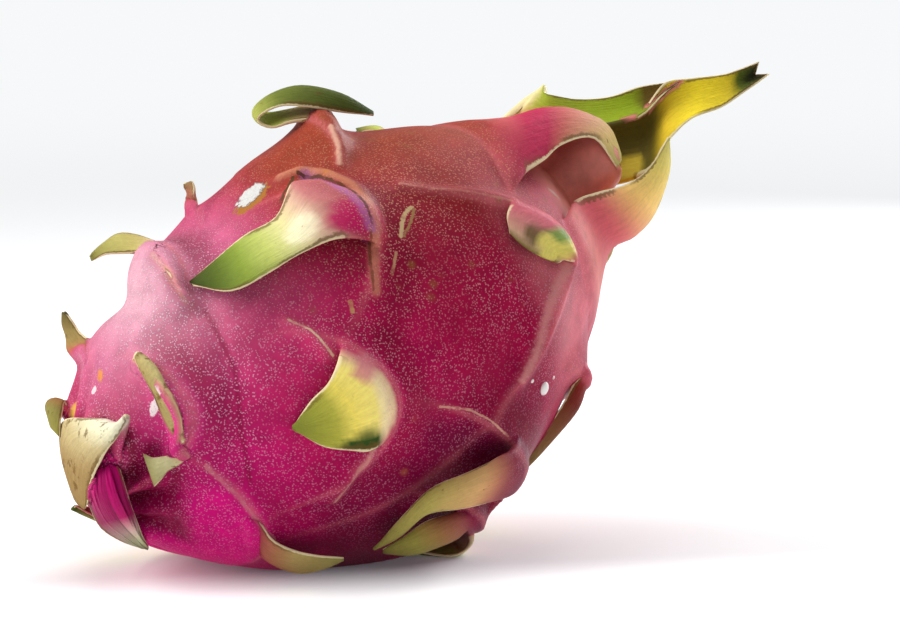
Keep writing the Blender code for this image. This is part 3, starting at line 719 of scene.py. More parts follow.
def blade(scale, v):
    """(points, normals, share): the blade's middle surface at the cross positions v.

    Cross lines are parabolas through the rails. The share runs from below zero inside the
    rind, through 0 on the crest, to 1 at the tip. The edges carry a small wave.
    """
    rails = np.array(scale.rails, float)
    if not scale.free:
        turn = scale.around + np.degrees(rails[..., 1] / body_radius(np.float64(scale.z)))
        rails = over_outline(scale.z + rails[..., 0], turn, rails[..., 2])
    weights = np.stack([v * (v - 1) / 2, 1 - v**2, v * (v + 1) / 2])
    knots = np.einsum("kc,knd->ncd", weights, rails)
    buried = 0
    if scale.root is not None:
        y = np.interp(v, [-1, 1], scale.root)
        turn = scale.around + np.degrees(y / body_radius(np.float64(scale.z)))
        z = crest_z(scale, y)
        knots = np.concatenate([[over_outline(z, turn, -ROOT_SINK), skin(z, turn)], knots])
        buried = 1
    whole = np.linspace(0, 1, ROWS_PER_KNOT * (len(knots) - 1) + 1)
    points = along_curve(knots, whole)
    share = (whole * (len(knots) - 1) - buried) / (len(knots) - 1 - buried)
    normal = np.cross(np.gradient(points, axis=0), np.gradient(points, axis=1))
    normal /= np.linalg.norm(normal, axis=-1, keepdims=True) + 1e-9
    edge = np.abs(v) ** 3 * np.sin(2 * np.pi * (scale.waves * whole[:, None] + 0.25 * np.sign(v)))
    fade = np.clip(4 * whole[:, None] - 1, 0, 1) * (1 - whole[:, None] ** 4)
    return points + scale.wave * (edge * fade)[..., None] * normal, normal, share


def blade_grid(scale):
    """(rings, share, v) of a thick blade: its sheet moved half its thickness either way."""
    turn = np.linspace(0, np.pi, BLADE_COLUMNS + 1)
    v = -np.cos(turn)
    middle, normal, share = blade(scale, v)
    middle, normal = placed(middle), normal @ axes_of_fruit()
    middle[..., 2] = np.maximum(middle[..., 2], EDGE_THICKNESS / 2 - REST_DEPTH)
    stops = [ROOT_THICKNESS, EDGE_THICKNESS, 0.8, TIP_THICKNESS]
    thickness = np.interp(share, [0, 0.45, 0.9, 1], stops)
    half = 0.5 * thickness[:, None] * np.sin(turn) ** 0.4
    over = middle + half[..., None] * normal
    under = middle - half[..., None] * normal
    rings = np.concatenate([over, under[:, -2:0:-1]], axis=1)
    rings[..., 2] = np.maximum(rings[..., 2], 0)
    return rings, share[:, None], np.concatenate([v, v[-2:0:-1]])[None, :]


blades = bpy.data.collections.new("blades")
bpy.context.scene.collection.children.link(blades)
for number, (name, scale) in enumerate(SCALES.items()):
    rings, share, v = blade_grid(scale)
    new_object(name, tube_mesh(name, rings, {"share": share, "across": v, "kind": number}), blades)

# %% [markdown]
# ## One skin
#
# Left as they are, the blades would stick through the rind with a hard line. A Boolean union
# fuses all of them into one closed surface. Its new edge is then softened by moving each
# point near the join towards the middle of its neighbours, which makes the small fillet
# that living tissue has.

# %% Fuse the blades with the rind
def fuse(body, parts):
    """One Boolean union with the collection, applied, with the parts then removed."""
    union = body.modifiers.new("blades", "BOOLEAN")
    union.operation = "UNION"
    union.operand_type = "COLLECTION"
    union.collection = parts
    union.solver = "MANIFOLD"
    graph = bpy.context.evaluated_depsgraph_get()
    joined = bpy.data.meshes.new_from_object(body.evaluated_get(graph))
    body.modifiers.clear()
    body.data = joined
    for each in list(parts.objects):
        bpy.data.objects.remove(each)
    bpy.data.collections.remove(parts)


fuse(rind, blades)
print("fused:", len(rind.data.vertices), "points,", len(rind.data.polygons), "faces")

# %% Read a mesh into arrays, and drop loose scraps
def coordinates(mesh):
    """The mesh's points in mm."""
    flat = np.empty(len(mesh.vertices) * 3, np.float32)
    mesh.vertices.foreach_get("co", flat)
    return flat.reshape(-1, 3).astype(float) / MM


def values_of(mesh, key):
    """The values of a per-point attribute."""
    flat = np.empty(len(mesh.vertices), np.float32)
    mesh.attributes[key].data.foreach_get("value", flat)
    return flat.astype(float)


def edges_of(mesh):
    """Pairs of point numbers, one for each edge."""
    flat = np.empty(len(mesh.edges) * 2, np.int32)
    mesh.edges.foreach_get("vertices", flat)
    return flat.reshape(-1, 2)


def pieces_of(mesh):
    """A number for each point, alike within each connected surface.

    Every point takes the least number among its neighbours, again and again, and jumps to
    its own number's number, so the least number crosses the mesh in few rounds.
    """
    edges = edges_of(mesh)
    label = np.arange(len(mesh.vertices))
    while True:
        before = label.copy()
        least = np.minimum(label[edges[:, 0]], label[edges[:, 1]])
        np.minimum.at(label, edges[:, 0], least)
        np.minimum.at(label, edges[:, 1], least)
        label = label[label]
        if (before == label).all():
            return label


def keep_largest(mesh):
    """Deletes every surface but the one with most points: sealed hollows and scraps go."""
    label = pieces_of(mesh)
    main = np.bincount(label).argmax()
    bm = bmesh.new()
    bm.from_mesh(mesh)
    bm.verts.ensure_lookup_table()
    loose = [bm.verts[i] for i in np.flatnonzero(label != main)]
    bmesh.ops.delete(bm, geom=loose, context="VERTS")
    bm.to_mesh(mesh)
    bm.free()
    return len(loose)


print("dropped", keep_largest(rind.data), "loose points")

# %% [markdown]
# ## Softened joins
#
# Two surfaces that a union joins meet at a hard corner. Averaging each point with its
# neighbours rounds it. A weight keeps this to the joins: 1 on a point whose neighbours came
# from another surface, and less with each step away, so thin leaf edges keep their shape.

# %% Round the joins off
JOIN_STEPS = 3
JOIN_FADE = 0.6
SOFTEN_ROUNDS = 5
SOFTEN_SHARE = 0.6  # of the way to the neighbours' mean, in each round


def join_weight(edges, kind, steps, fade):
    """1 where two sources meet, times fade for each further step along the mesh's edges."""
    a, b = edges.T
    weight = np.zeros(len(kind))
    meets = kind[a] != kind[b]
    weight[a[meets]] = weight[b[meets]] = 1.0
    for _ in range(steps):
        spread = weight.copy()
        np.maximum.at(spread, a, weight[b] * fade)
        np.maximum.at(spread, b, weight[a] * fade)
        weight = spread
    return weight


def averaged(values, edges):
    """The mean of each point's neighbours, for an array of one or more values a point."""
    a, b = edges.T
    columns = values.reshape(len(values), -1).T
    total = [np.bincount(a, c[b], len(c)) + np.bincount(b, c[a], len(c)) for c in columns]
    count = np.bincount(a, minlength=len(values)) + np.bincount(b, minlength=len(values))
    return (np.stack(total, -1) / np.maximum(count, 1)[:, None]).reshape(values.shape)


def soften(points, edges, weight, rounds):
    """Moves each point towards its neighbours' mean by its weight, some rounds over."""
    for _ in range(rounds):
        points = points + SOFTEN_SHARE * weight[:, None] * (averaged(points, edges) - points)
    return points


mesh = rind.data
edges = edges_of(mesh)
kind = values_of(mesh, "kind").round()
share = values_of(mesh, "share")
across = values_of(mesh, "across")
near_joins = join_weight(edges, kind, JOIN_STEPS, JOIN_FADE)
points = soften(coordinates(mesh), edges, near_joins, SOFTEN_ROUNDS)
points[:, 2] = np.maximum(points[:, 2], 0)
mesh.vertices.foreach_set("co", (points * MM).astype(np.float32).ravel())
mesh.update()
print("softened", int((near_joins > 0).sum()), "of", len(points), "points")

# %% [markdown]
# ## Colour, point by point
#
# The big changes of colour follow the fruit's form: magenta flanks, a duller sunburnt top,
# a rosy crown side, and scales that run from pink through cream and lime to olive. Painted
# light is laid on top: shade in the hollows behind the crests, in the creases and pleats, on
# the shoulder and on the lower near side, a rim light on the crown side, a sheen on the left,
# a lighter neck and highlights along the crests. They are worked out for each point of the
# mesh from the same coordinates as the form, and kept as attributes. The fine grain comes
# later, in the shader.

# %% Names for the colours, as linear light
MAGENTA = (0.46, 0.001, 0.088)
PURPLE = (0.60, 0.001, 0.175)
CRIMSON = (0.31, 0.003, 0.030)
# painted shade for the hollows behind the crests
PAINTED_HOLLOW_SHADE = (0.20, 0.003, 0.02)
SUNBURNT = (0.28, 0.052, 0.016)
ROSE = (0.66, 0.16, 0.20)
# painted light from here to the pleats' shade: highlights, sheen, rim light and shade, some of it mixed
# with the rind's own colour
PAINTED_CREST_HIGHLIGHT = (0.66, 0.17, 0.19)
PAINTED_SHOULDER_SHADE = (0.22, 0.004, 0.014)
ROSY_CROWN_PAINTED_RIM_LIGHT = (0.76, 0.19, 0.23)
PALE_PINK_AND_PAINTED_SHEEN = (0.68, 0.20, 0.36)
PAINTED_SHEEN = (0.72, 0.42, 0.50)
SALMON_NECK_PAINTED_LIGHT = (0.73, 0.26, 0.20)
PAINTED_UNDERSIDE_SHADE = (0.15, 0.0005, 0.030)
PAINTED_CREASE_SHADE = (0.16, 0.001, 0.02)
PAINTED_PLEAT_SHADE = (0.17, 0.001, 0.022)
HUSK_FOOT = (0.33, 0.22, 0.08)
LIME = (0.50, 0.55, 0.12)
OLIVE = (0.27, 0.24, 0.05)
DARK_GREEN = (0.08, 0.11, 0.015)
STRAW = (0.68, 0.50, 0.26)
BARK = (0.20, 0.11, 0.035)

# %% How each scale's colour runs from root to tip
RUNS = {
    "broad_leaf": [
        (0.1, (0.50, 0.22, 0.20)), (0.28, (0.66, 0.42, 0.30)), (0.42, (0.70, 0.66, 0.30)),
        (0.55, (0.50, 0.55, 0.14)), (0.7, (0.23, 0.31, 0.04)), (0.86, (0.08, 0.12, 0.012)),
        (1, (0.04, 0.055, 0.01)),
    ],
    "middle_flap": [
        (0.06, (0.60, 0.10, 0.14)), (0.16, (0.94, 0.74, 0.44)), (0.3, (0.98, 0.82, 0.22)),
        (0.5, (0.92, 0.76, 0.14)), (0.66, (0.42, 0.41, 0.055)), (1, (0.22, 0.25, 0.035)),
    ],
    "lower_right_leaf": [
        (0.1, (0.54, 0.10, 0.11)), (0.3, (0.62, 0.36, 0.15)), (0.6, (0.42, 0.35, 0.09)),
        (1, (0.28, 0.25, 0.06)),
    ],
    "torn_stub": [
        (0.15, (0.56, 0.06, 0.12)), (0.45, (0.66, 0.22, 0.22)), (0.8, (0.60, 0.36, 0.24)),
        (1, (0.24, 0.18, 0.05)),
    ],
    "left_horn": [
        (0.1, ROSE), (0.3, (0.70, 0.50, 0.30)), (0.5, (0.61, 0.54, 0.17)), (1, (0.22, 0.20, 0.04)),
    ],
    "small_horn": [(0.2, (0.5, 0.1, 0.1)), (1, (0.3, 0.2, 0.08))],
    "low_horn": [(0.2, (0.5, 0.12, 0.08)), (0.5, (0.35, 0.25, 0.08)), (1, (0.13, 0.10, 0.03))],
    "withered_strip": [
        (0.1, (0.6, 0.2, 0.15)), (0.3, STRAW), (0.6, (0.50, 0.42, 0.18)), (1, (0.36, 0.27, 0.10)),
    ],
    "withered_curl": [(0.2, STRAW), (0.5, (0.60, 0.56, 0.30)), (1, (0.30, 0.27, 0.10))],
    "pale_husk": [
        (0.1, (0.60, 0.5, 0.35)), (0.2, (0.84, 0.82, 0.66)), (0.38, (0.80, 0.76, 0.52)),
        (0.55, (0.52, 0.42, 0.21)), (0.75, (0.34, 0.23, 0.09)), (1, BARK),
    ],
    "wrinkled_lobe": [
        (0.3, (0.52, 0.003, 0.15)), (0.6, (0.50, 0.02, 0.15)), (0.76, (0.72, 0.50, 0.44)),
        (0.88, (0.62, 0.68, 0.38)), (1, (0.50, 0.58, 0.28)),
    ],
    "left_lip": [(0.2, (0.35, 0.1, 0.05)), (0.6, (0.25, 0.22, 0.06)), (1, OLIVE)],
    "floor_leaf": [
        (0.2, (0.36, 0.012, 0.07)), (0.42, (0.45, 0.16, 0.09)), (0.62, (0.46, 0.34, 0.12)),
        (1, (0.30, 0.27, 0.08)),
    ],
    "under_leaf": [
        (0.1, (0.35, 0.01, 0.08)), (0.4, (0.35, 0.12, 0.06)), (0.7, OLIVE), (1, (0.2, 0.17, 0.04)),
    ],
    "right_edge_leaf": [
        (0.1, (0.30, 0.012, 0.015)), (0.5, (0.17, 0.02, 0.012)), (1, (0.25, 0.16, 0.06)),
    ],
    "top_hairpin": [
        (0.08, (0.48, 0.10, 0.08)), (0.3, (0.60, 0.42, 0.20)), (0.40, (0.40, 0.44, 0.08)),
        (0.55, (0.40, 0.42, 0.09)), (0.68, (0.15, 0.18, 0.03)), (1, (0.045, 0.07, 0.012)),
    ],
    "hood": [
        (0.1, (0.47, 0.008, 0.065)), (0.4, (0.48, 0.022, 0.08)), (0.66, (0.56, 0.24, 0.13)),
        (0.85, (0.56, 0.40, 0.13)), (1, (0.52, 0.48, 0.16)),
    ],
    "crown_cup": [
        (0.1, (0.58, 0.02, 0.10)), (0.35, (0.68, 0.14, 0.14)), (0.6, (0.92, 0.58, 0.17)),
        (0.85, (0.76, 0.62, 0.14)), (1, (0.50, 0.44, 0.10)),
    ],
    "back_leaf": [
        (0.1, (0.78, 0.68, 0.2)), (0.25, (0.42, 0.52, 0.05)), (0.7, (0.33, 0.45, 0.022)),
        (1, (0.16, 0.22, 0.02)),
    ],
    "long_tip": [
        (0.1, (0.10, 0.075, 0.012)), (0.3, (0.12, 0.09, 0.012)), (0.42, (0.66, 0.46, 0.025)),
        (0.6, (0.95, 0.74, 0.03)), (0.76, (0.74, 0.56, 0.03)), (0.86, (0.10, 0.13, 0.015)),
        (1, (0.03, 0.035, 0.01)),
    ],
}
COMMON_RUN = [(0.15, ROSE), (0.4, (0.7, 0.5, 0.25)), (0.6, LIME), (0.85, OLIVE), (1, DARK_GREEN)]


def blend(under, over, weight):
    """Mixes two colours, or arrays of them, by a weight for each point."""
    weight = np.asarray(weight)[..., None]
    return under * (1 - weight) + np.asarray(over, float) * weight


def run_colour(stops, share):
    """A colour that runs through its stops along the share, each channel on its own."""
    at, colours = zip(*stops)
    colours = np.array(colours, float)
    return np.stack([np.interp(share, at, colours[:, k]) for k in range(3)], -1)


# %% Colour of the rind
def rind_colour(z, around, crest):
    """Base colour by place: magenta, purple by the stalk, sunburnt on top, rosy at the crown.

    Painted light lies on top: shade on the shoulder and underside, rim light on the crown side, a sheen
    on the left, a lighter neck and highlights along the crests.
    """
    from_top = np.abs(turn_from(around, 0))
    stalk_half = smooth(0, -18, z) * smooth(-60, -45, z)
    layers = [
        (CRIMSON, 0.6 * smooth(-8, 16, z) * smooth(55, 35, z)),
        # painted shade on the shoulder
        (PAINTED_SHOULDER_SHADE, 0.85 * bell(z, 33, 11) * bell(turn_from(around, 52), 0, 16)),
        (PURPLE, smooth(-22, -42, z) * smooth(30, 70, from_top)),
        (SUNBURNT, 0.85 * bell(turn_from(around, 12), 0, 40) * smooth(-22, 6, z)),
        # the crown side's own rosy colour, lightened further as painted rim light
        (ROSY_CROWN_PAINTED_RIM_LIGHT, 0.9 * smooth(28, 40, z) * bell(turn_from(around, 100), 0, 50)),
        # pale pink by the stalk, partly its own colour and partly painted sheen
        (PALE_PINK_AND_PAINTED_SHEEN, 0.55 * bell(turn_from(around, 20), 0, 38) * stalk_half),
        # painted sheen on the left side
        (PAINTED_SHEEN, 0.82 * bell(z, -34, 10) * bell(turn_from(around, 10), 0, 30)),
        # salmon neck, lightened as painted light where the hood shades it
        (SALMON_NECK_PAINTED_LIGHT, 0.85 * smooth(49, 56, z)),
        # painted shade on the lower near side, under the belly
        (PAINTED_UNDERSIDE_SHADE, 0.9 * smooth(88, 122, from_top) * smooth(-38, -22, z) * smooth(32, 16, z)),
        # painted highlight along the tops of the crests
        (PAINTED_CREST_HIGHLIGHT, 0.55 * np.clip(crest, 0, 1)),
    ]
    colour = np.broadcast_to(np.array(MAGENTA), (len(z), 3))
    for over, weight in layers:
        colour = blend(colour, over, weight)
    return colour


# %% Painted highlights on the crests and painted shade in the hollows
def crest_line(z, around):
    """How near each place is to the top of a crest or ridge: 1 on it, 0 from about 1 mm off."""
    near = np.zeros(len(z))
    for scale in SCALES.values():
        y, beyond = beyond_crest(scale, z, around)
        arm = np.clip(1.15 - (y / scale.reach) ** 2, 0, 1)
        near = np.maximum(near, min(scale.crest / 3, 1) * arm * bell(beyond, 0, 0.7))
    for chain, height, _ in RIDGES.values():
        if height > 0:
            near = np.maximum(near, 0.8 * bell(ridge_distance(z, around, chain), 0, 0.8))
    return near


def hollow_shade(z, around):
    """How deep each place lies behind a crest, on its crown side: the weight of the shade painted
    there.
    """
    deep = np.zeros(len(z))
    for scale in SCALES.values():
        y, beyond = beyond_crest(scale, z, around)
        arm = np.clip(1 - (y / (scale.reach * 0.9)) ** 2, 0, 1)
        behind = smooth(0.6, 2.5, beyond) * smooth(11, 4, beyond)
        deep = np.maximum(deep, min(scale.crest / 4, 1) * arm * behind)
    return deep


fruit_points = unplaced(points)
z_at = fruit_points[:, 2]
around_at = np.degrees(np.arctan2(fruit_points[:, 1], fruit_points[:, 0] - neck_lean(z_at)))
leaf_share = np.where(kind < 0, 0.0, np.clip(share, 0, 1))
leafness = smooth(0.04, 0.30, leaf_share)
leafness[kind == list(SCALES).index("long_tip")] = 1.0
coat = rind_colour(z_at, around_at, crest_line(z_at, around_at))
# painted shade in the hollow behind each crest
coat = blend(coat, PAINTED_HOLLOW_SHADE, 0.6 * hollow_shade(z_at, around_at) * (kind < 0))
# painted shade in the folds by the stalk
crease_shade = sum(
    bell(ridge_distance(z_at, around_at, chain), 0, width)
    for chain, height, width in RIDGES.values()
    if -2 < height < -1
)
coat = blend(coat, PAINTED_CREASE_SHADE, 0.75 * np.clip(crease_shade, 0, 1) * (z_at < -40))
# painted shade in the grooves of the pleats
pleat_shade = np.clip(-pleats(z_at, around_at) / PLEAT_DEPTH, 0, 1)
coat = blend(coat, PAINTED_PLEAT_SHADE, 0.7 * pleat_shade)
print("rind colour runs from", coat.min(0).round(3), "to", coat.max(0).round(3))

# %% Colour of the scales
names = list(SCALES)
leaf_coat = coat.copy()
for number, name in enumerate(names):
    mine = kind == number
    leaf_coat[mine] = run_colour(RUNS.get(name, COMMON_RUN), leaf_share[mine])
coat = blend(coat, leaf_coat, leafness)
PATCHES = {
    # scale, then share and cross position of the middle, their half sizes, colour, strength
    "magenta by the near edge": ("broad_leaf", 0.12, 0.55, 0.13, 0.40, (0.50, 0.004, 0.10), 0.9),
    "pink base on the far edge": ("broad_leaf", 0.10, -0.5, 0.14, 0.6, (0.56, 0.16, 0.18), 0.6),
    "cream middle": ("broad_leaf", 0.36, 0.1, 0.10, 0.55, (0.92, 0.86, 0.60), 0.7),
    "green tongue of the flap": ("middle_flap", 0.40, 0.92, 0.24, 0.34, (0.03, 0.07, 0.012), 1.0),
    "cream hollow of the flap": ("middle_flap", 0.16, 0.15, 0.10, 0.7, (0.95, 0.86, 0.46), 0.6),
    "pink streak of the flap": ("middle_flap", 0.18, -0.55, 0.16, 0.22, (0.70, 0.22, 0.25), 0.8),
    "yellow of the stub": ("torn_stub", 0.5, 0.55, 0.6, 0.42, (0.72, 0.62, 0.14), 1.0),
    "green corner of the stub": ("torn_stub", 0.2, 0.35, 0.2, 0.22, (0.18, 0.30, 0.06), 0.9),
    "dark fold of the stub": ("torn_stub", 0.62, -0.1, 0.34, 0.16, (0.10, 0.08, 0.015), 0.8),
    "brown end of the back leaf": ("back_leaf", 0.93, 0.3, 0.14, 1.2, (0.12, 0.06, 0.015), 0.9),
    "yellow root of the back leaf": ("back_leaf", 0.1, 0.6, 0.14, 0.9, (0.85, 0.80, 0.42), 0.8),
    "yellow blob in the crown": ("long_tip", 0.16, -0.75, 0.07, 0.5, (0.62, 0.44, 0.04), 0.9),
}
for name, at, v, half_share, half_v, colour, strength in PATCHES.values():
    far = np.hypot((leaf_share - at) / half_share, (across - v) / half_v)
    coat = blend(coat, colour, strength * smooth(1.15, 0.75, far) * (kind == names.index(name)))
withered_low = smooth(31, 15, points[:, 2]) * (kind == names.index("pale_husk"))
coat = blend(coat, HUSK_FOOT, 0.95 * withered_low)
edge = np.abs(across) * smooth(0.08, 0.2, leaf_share) * (kind >= 0)
wrinkled = smooth(-40, -50, z_at) * bell(turn_from(around_at, 80), 0, 60) * (kind < 0)
wrinkled[kind == names.index("wrinkled_lobe")] = 1.0
DRYNESS = {
    "withered_strip": 1.0, "withered_curl": 0.8, "pale_husk": 1.0, "low_horn": 0.6,
    "left_lip": 0.5, "top_hairpin": 0.3, "floor_leaf": 0.3, "lower_right_leaf": 0.35, "hood": 0.25,
}
dryness = np.zeros(len(points))
for name, amount in DRYNESS.items():
    dryness[kind == names.index(name)] = amount
dryness *= leafness
print(int((leafness > 0.5).sum()), "points are scale tissue")

# %% Keep the values as attributes
def keep(mesh, key, kind_of_value, field, values):
    """Writes an attribute for each point: a value, a vector or a colour, by kind and field."""
    made = mesh.attributes.new(key, kind_of_value, "POINT")
    made.data.foreach_set(field, np.asarray(values, np.float32).ravel())


def chart(z, around):
    """Places on the rind as (mm along, mm round, 0), for lines and spots drawn in the shader."""
    round_it = np.radians(turn_from(around, 0)) * body_radius(np.asarray(z, float))
    return np.stack([z, round_it, 0 * z], -1)


on_rind = 1 - leafness
speckle = bell(turn_from(around_at, 25), 0, 60) * smooth(-25, 5, z_at) * on_rind
fleck = on_rind * (0.25 + 0.75 * bell(turn_from(around_at, 45), 0, 50))
fleck = fleck * (1 - 0.45 * bell(turn_from(around_at, 8), 0, 26) * smooth(-10, 5, z_at))
fleck *= 1 - 0.8 * smooth(46, 54, z_at)
# painted shade on the shoulder: fewer pale dashes there
fleck *= 1 - 0.4 * bell(z_at, 33, 10) * bell(turn_from(around_at, 52), 0, 18)
# painted sheen on the left side, which also whitens the dashes there
painted_sheen = on_rind * bell(z_at, -34, 10) * bell(turn_from(around_at, 15), 0, 32)
for key, values in {
    "leafness": leafness,  # 1 on scales, 0 on rind
    "dryness": dryness,
    "speckle": speckle,  # how sunburnt
    "fleck": np.clip(fleck, 0, 1),  # how strong the pale dashes are
    "painted_sheen": painted_sheen,  # painted sheen on the left side
    "edge": edge,  # 1 at a scale's rim
    "wrinkled": wrinkled,
}.items():
    keep(mesh, key, "FLOAT", "value", values)
opaque = np.concatenate([np.clip(coat, 0, 1), np.ones((len(coat), 1))], 1)
keep(mesh, "coat", "FLOAT_COLOR", "color", opaque)
keep(mesh, "chart", "FLOAT_VECTOR", "vector", chart(z_at, around_at))
flow = np.stack([leaf_share * 3, across * 6, kind * 7.3], -1)
keep(mesh, "flow", "FLOAT_VECTOR", "vector", flow)
mesh.shade_smooth()
print("attributes:", [a.name for a in mesh.attributes if not a.name.startswith(".")])

# %% [markdown]
# ## Shader maths in Python
#
# A node tree wired by hand is long to read. A small class holds a socket and answers to +,
# -, * and /, so a mask can be written as a formula, and one method adds any other node.

# %% A value in a shader
class Value:
    """A number that the shader works out; arithmetic on it adds Math nodes."""

    def __init__(self, tree, socket):
        self.tree, self.socket = tree, socket

    def maths(self, operation, first, second):
        node = self.tree.nodes.new("ShaderNodeMath")
        node.operation = operation
        for place, item in enumerate((first, second)):
            if isinstance(item, Value):
                self.tree.links.new(item.socket, node.inputs[place])
            else:
                node.inputs[place].default_value = item
        return Value(self.tree, node.outputs[0])

    def __add__(self, other):
        return self.maths("ADD", self, other)

    def __radd__(self, other):
        return self.maths("ADD", other, self)

    def __sub__(self, other):
        return self.maths("SUBTRACT", self, other)

    def __rsub__(self, other):
        return self.maths("SUBTRACT", other, self)

    def __mul__(self, other):
        return self.maths("MULTIPLY", self, other)

    def __rmul__(self, other):
        return self.maths("MULTIPLY", other, self)

    def __truediv__(self, other):
        return self.maths("DIVIDE", self, other)

    def __rtruediv__(self, other):
        return self.maths("DIVIDE", other, self)


# %% A material's nodes
class Finish:
    """A material, with one method that adds any node from its type, settings and inputs."""

    def __init__(self, name):
        self.material = bpy.data.materials.new(name)
        self.material.use_nodes = True
        self.tree = self.material.node_tree
        self.shader = self.tree.nodes["Principled BSDF"]

    def connect(self, item, socket):
        if isinstance(item, Value):
            self.tree.links.new(item.socket, socket)
        else:
            socket.default_value = item

    def add(self, kind, settings=None, inputs=None, output=0):
        node = self.tree.nodes.new(kind)
        for key, value in (settings or {}).items():
            setattr(node, key, value)
        for key, item in (inputs or {}).items():
            found = [s for s in node.inputs if key in (s.identifier, s.name)]
            self.connect(item, found[0])
        out = node.outputs[output] if isinstance(output, int) else next(
            s for s in node.outputs if output in (s.identifier, s.name)
        )
        return Value(self.tree, out)

    def attribute(self, name, output="Fac"):
        return self.add("ShaderNodeAttribute", {"attribute_name": name}, output=output)

    def place(self):
        return self.add("ShaderNodeTexCoord", output="Object")

    def noise(self, scale, detail=3.0, roughness=0.5, vector=None):
        where = vector or self.place()
        return self.add(
            "ShaderNodeTexNoise",
            inputs={"Vector": where, "Scale": scale, "Detail": detail, "Roughness": roughness},
        )

    def cells(self, scale, vector=None):
        where = vector or self.place()
        return self.add("ShaderNodeTexVoronoi", inputs={"Vector": where, "Scale": scale})

    def step(self, value, low, high):
        return self.add(
            "ShaderNodeMapRange",
            {"interpolation_type": "SMOOTHSTEP"},
            {"Value": value, "From Min": low, "From Max": high},
        )

    def falling(self, value, low, high):
        return 1 - self.step(value, low, high)

    def mix(self, weight, under, over, blend_type="MIX"):
        def full(item):
            return item if isinstance(item, Value) else (*item, 1.0)

        return self.add(
            "ShaderNodeMix",
            {"data_type": "RGBA", "blend_type": blend_type, "clamp_factor": True},
            {"Factor_Float": weight, "A_Color": full(under), "B_Color": full(over)},
            "Result_Color",
        )

    def shade(self, colour, value):
        return self.add("ShaderNodeHueSaturation", inputs={"Color": colour, "Value": value})

    def bump(self, height, distance, strength=1.0, under=None):
        inputs = {"Height": height, "Distance": distance, "Strength": strength}
        if under is not None:
            inputs["Normal"] = under
        return self.add("ShaderNodeBump", inputs=inputs)

    def vector(self, operation, output="Vector", **inputs):
        return self.add("ShaderNodeVectorMath", {"operation": operation}, inputs, output)

    def near_chain(self, place, points):
        """Distance in mm to a chain of (z, around) points: the least of those to its runs."""
        least = None
        for first, last in zip(points, points[1:]):
            start, end = (chart(np.float64(z), np.float64(a)) for z, a in (first, last))
            run = end - start
            offset = self.vector("SUBTRACT", Vector=place, Vector_001=tuple(start))
            unit = tuple(run / (run @ run))
            along = self.vector("DOT_PRODUCT", "Value", Vector=offset, Vector_001=unit)
            along = self.add("ShaderNodeClamp", inputs={"Value": along})
            foot = self.vector("SCALE", Vector=tuple(run), Scale=along)
            away = self.vector("DISTANCE", "Value", Vector=offset, Vector_001=foot)
            least = away if least is None else least.maths("MINIMUM", least, away)
        return least

    def near_spot(self, place, z, around, length, width, turn):
        """Distance to a spot's middle, counted in its half length and half width."""
        c, s = math.cos(math.radians(turn)), math.sin(math.radians(turn))
        middle = tuple(chart(np.float64(z), np.float64(around)))
        offset = self.vector("SUBTRACT", Vector=place, Vector_001=middle)
        u, v = (
            self.vector("DOT_PRODUCT", "Value", Vector=offset, Vector_001=axis)
            for axis in ((c / length, s / length, 0), (-s / width, c / width, 0))
        )
        square = u * u + v * v
        return square.maths("POWER", square, 0.5)

    def set(self, **sockets):
        for key, item in sockets.items():
            self.connect(item, self.shader.inputs[key.replace("_", " ")])
        return self.material


# %% [markdown]
# ## The finish of rind and scales
#
# Close up, the rind is crowded with pale dashes, less than a millimetre apart, on a waxy
# magenta ground, with brown speckles where the sun has burnt it. Scars and edges are drawn
# on it as lines, and so are painted shade in soft hollows and creases and painted highlights
# along ridges: a mask is the distance to a chain of points, with noise added so that its
# edge is ragged. Scale tissue has fine veins along it, painted shade in its wrinkles, and
# dries brown at its rims.

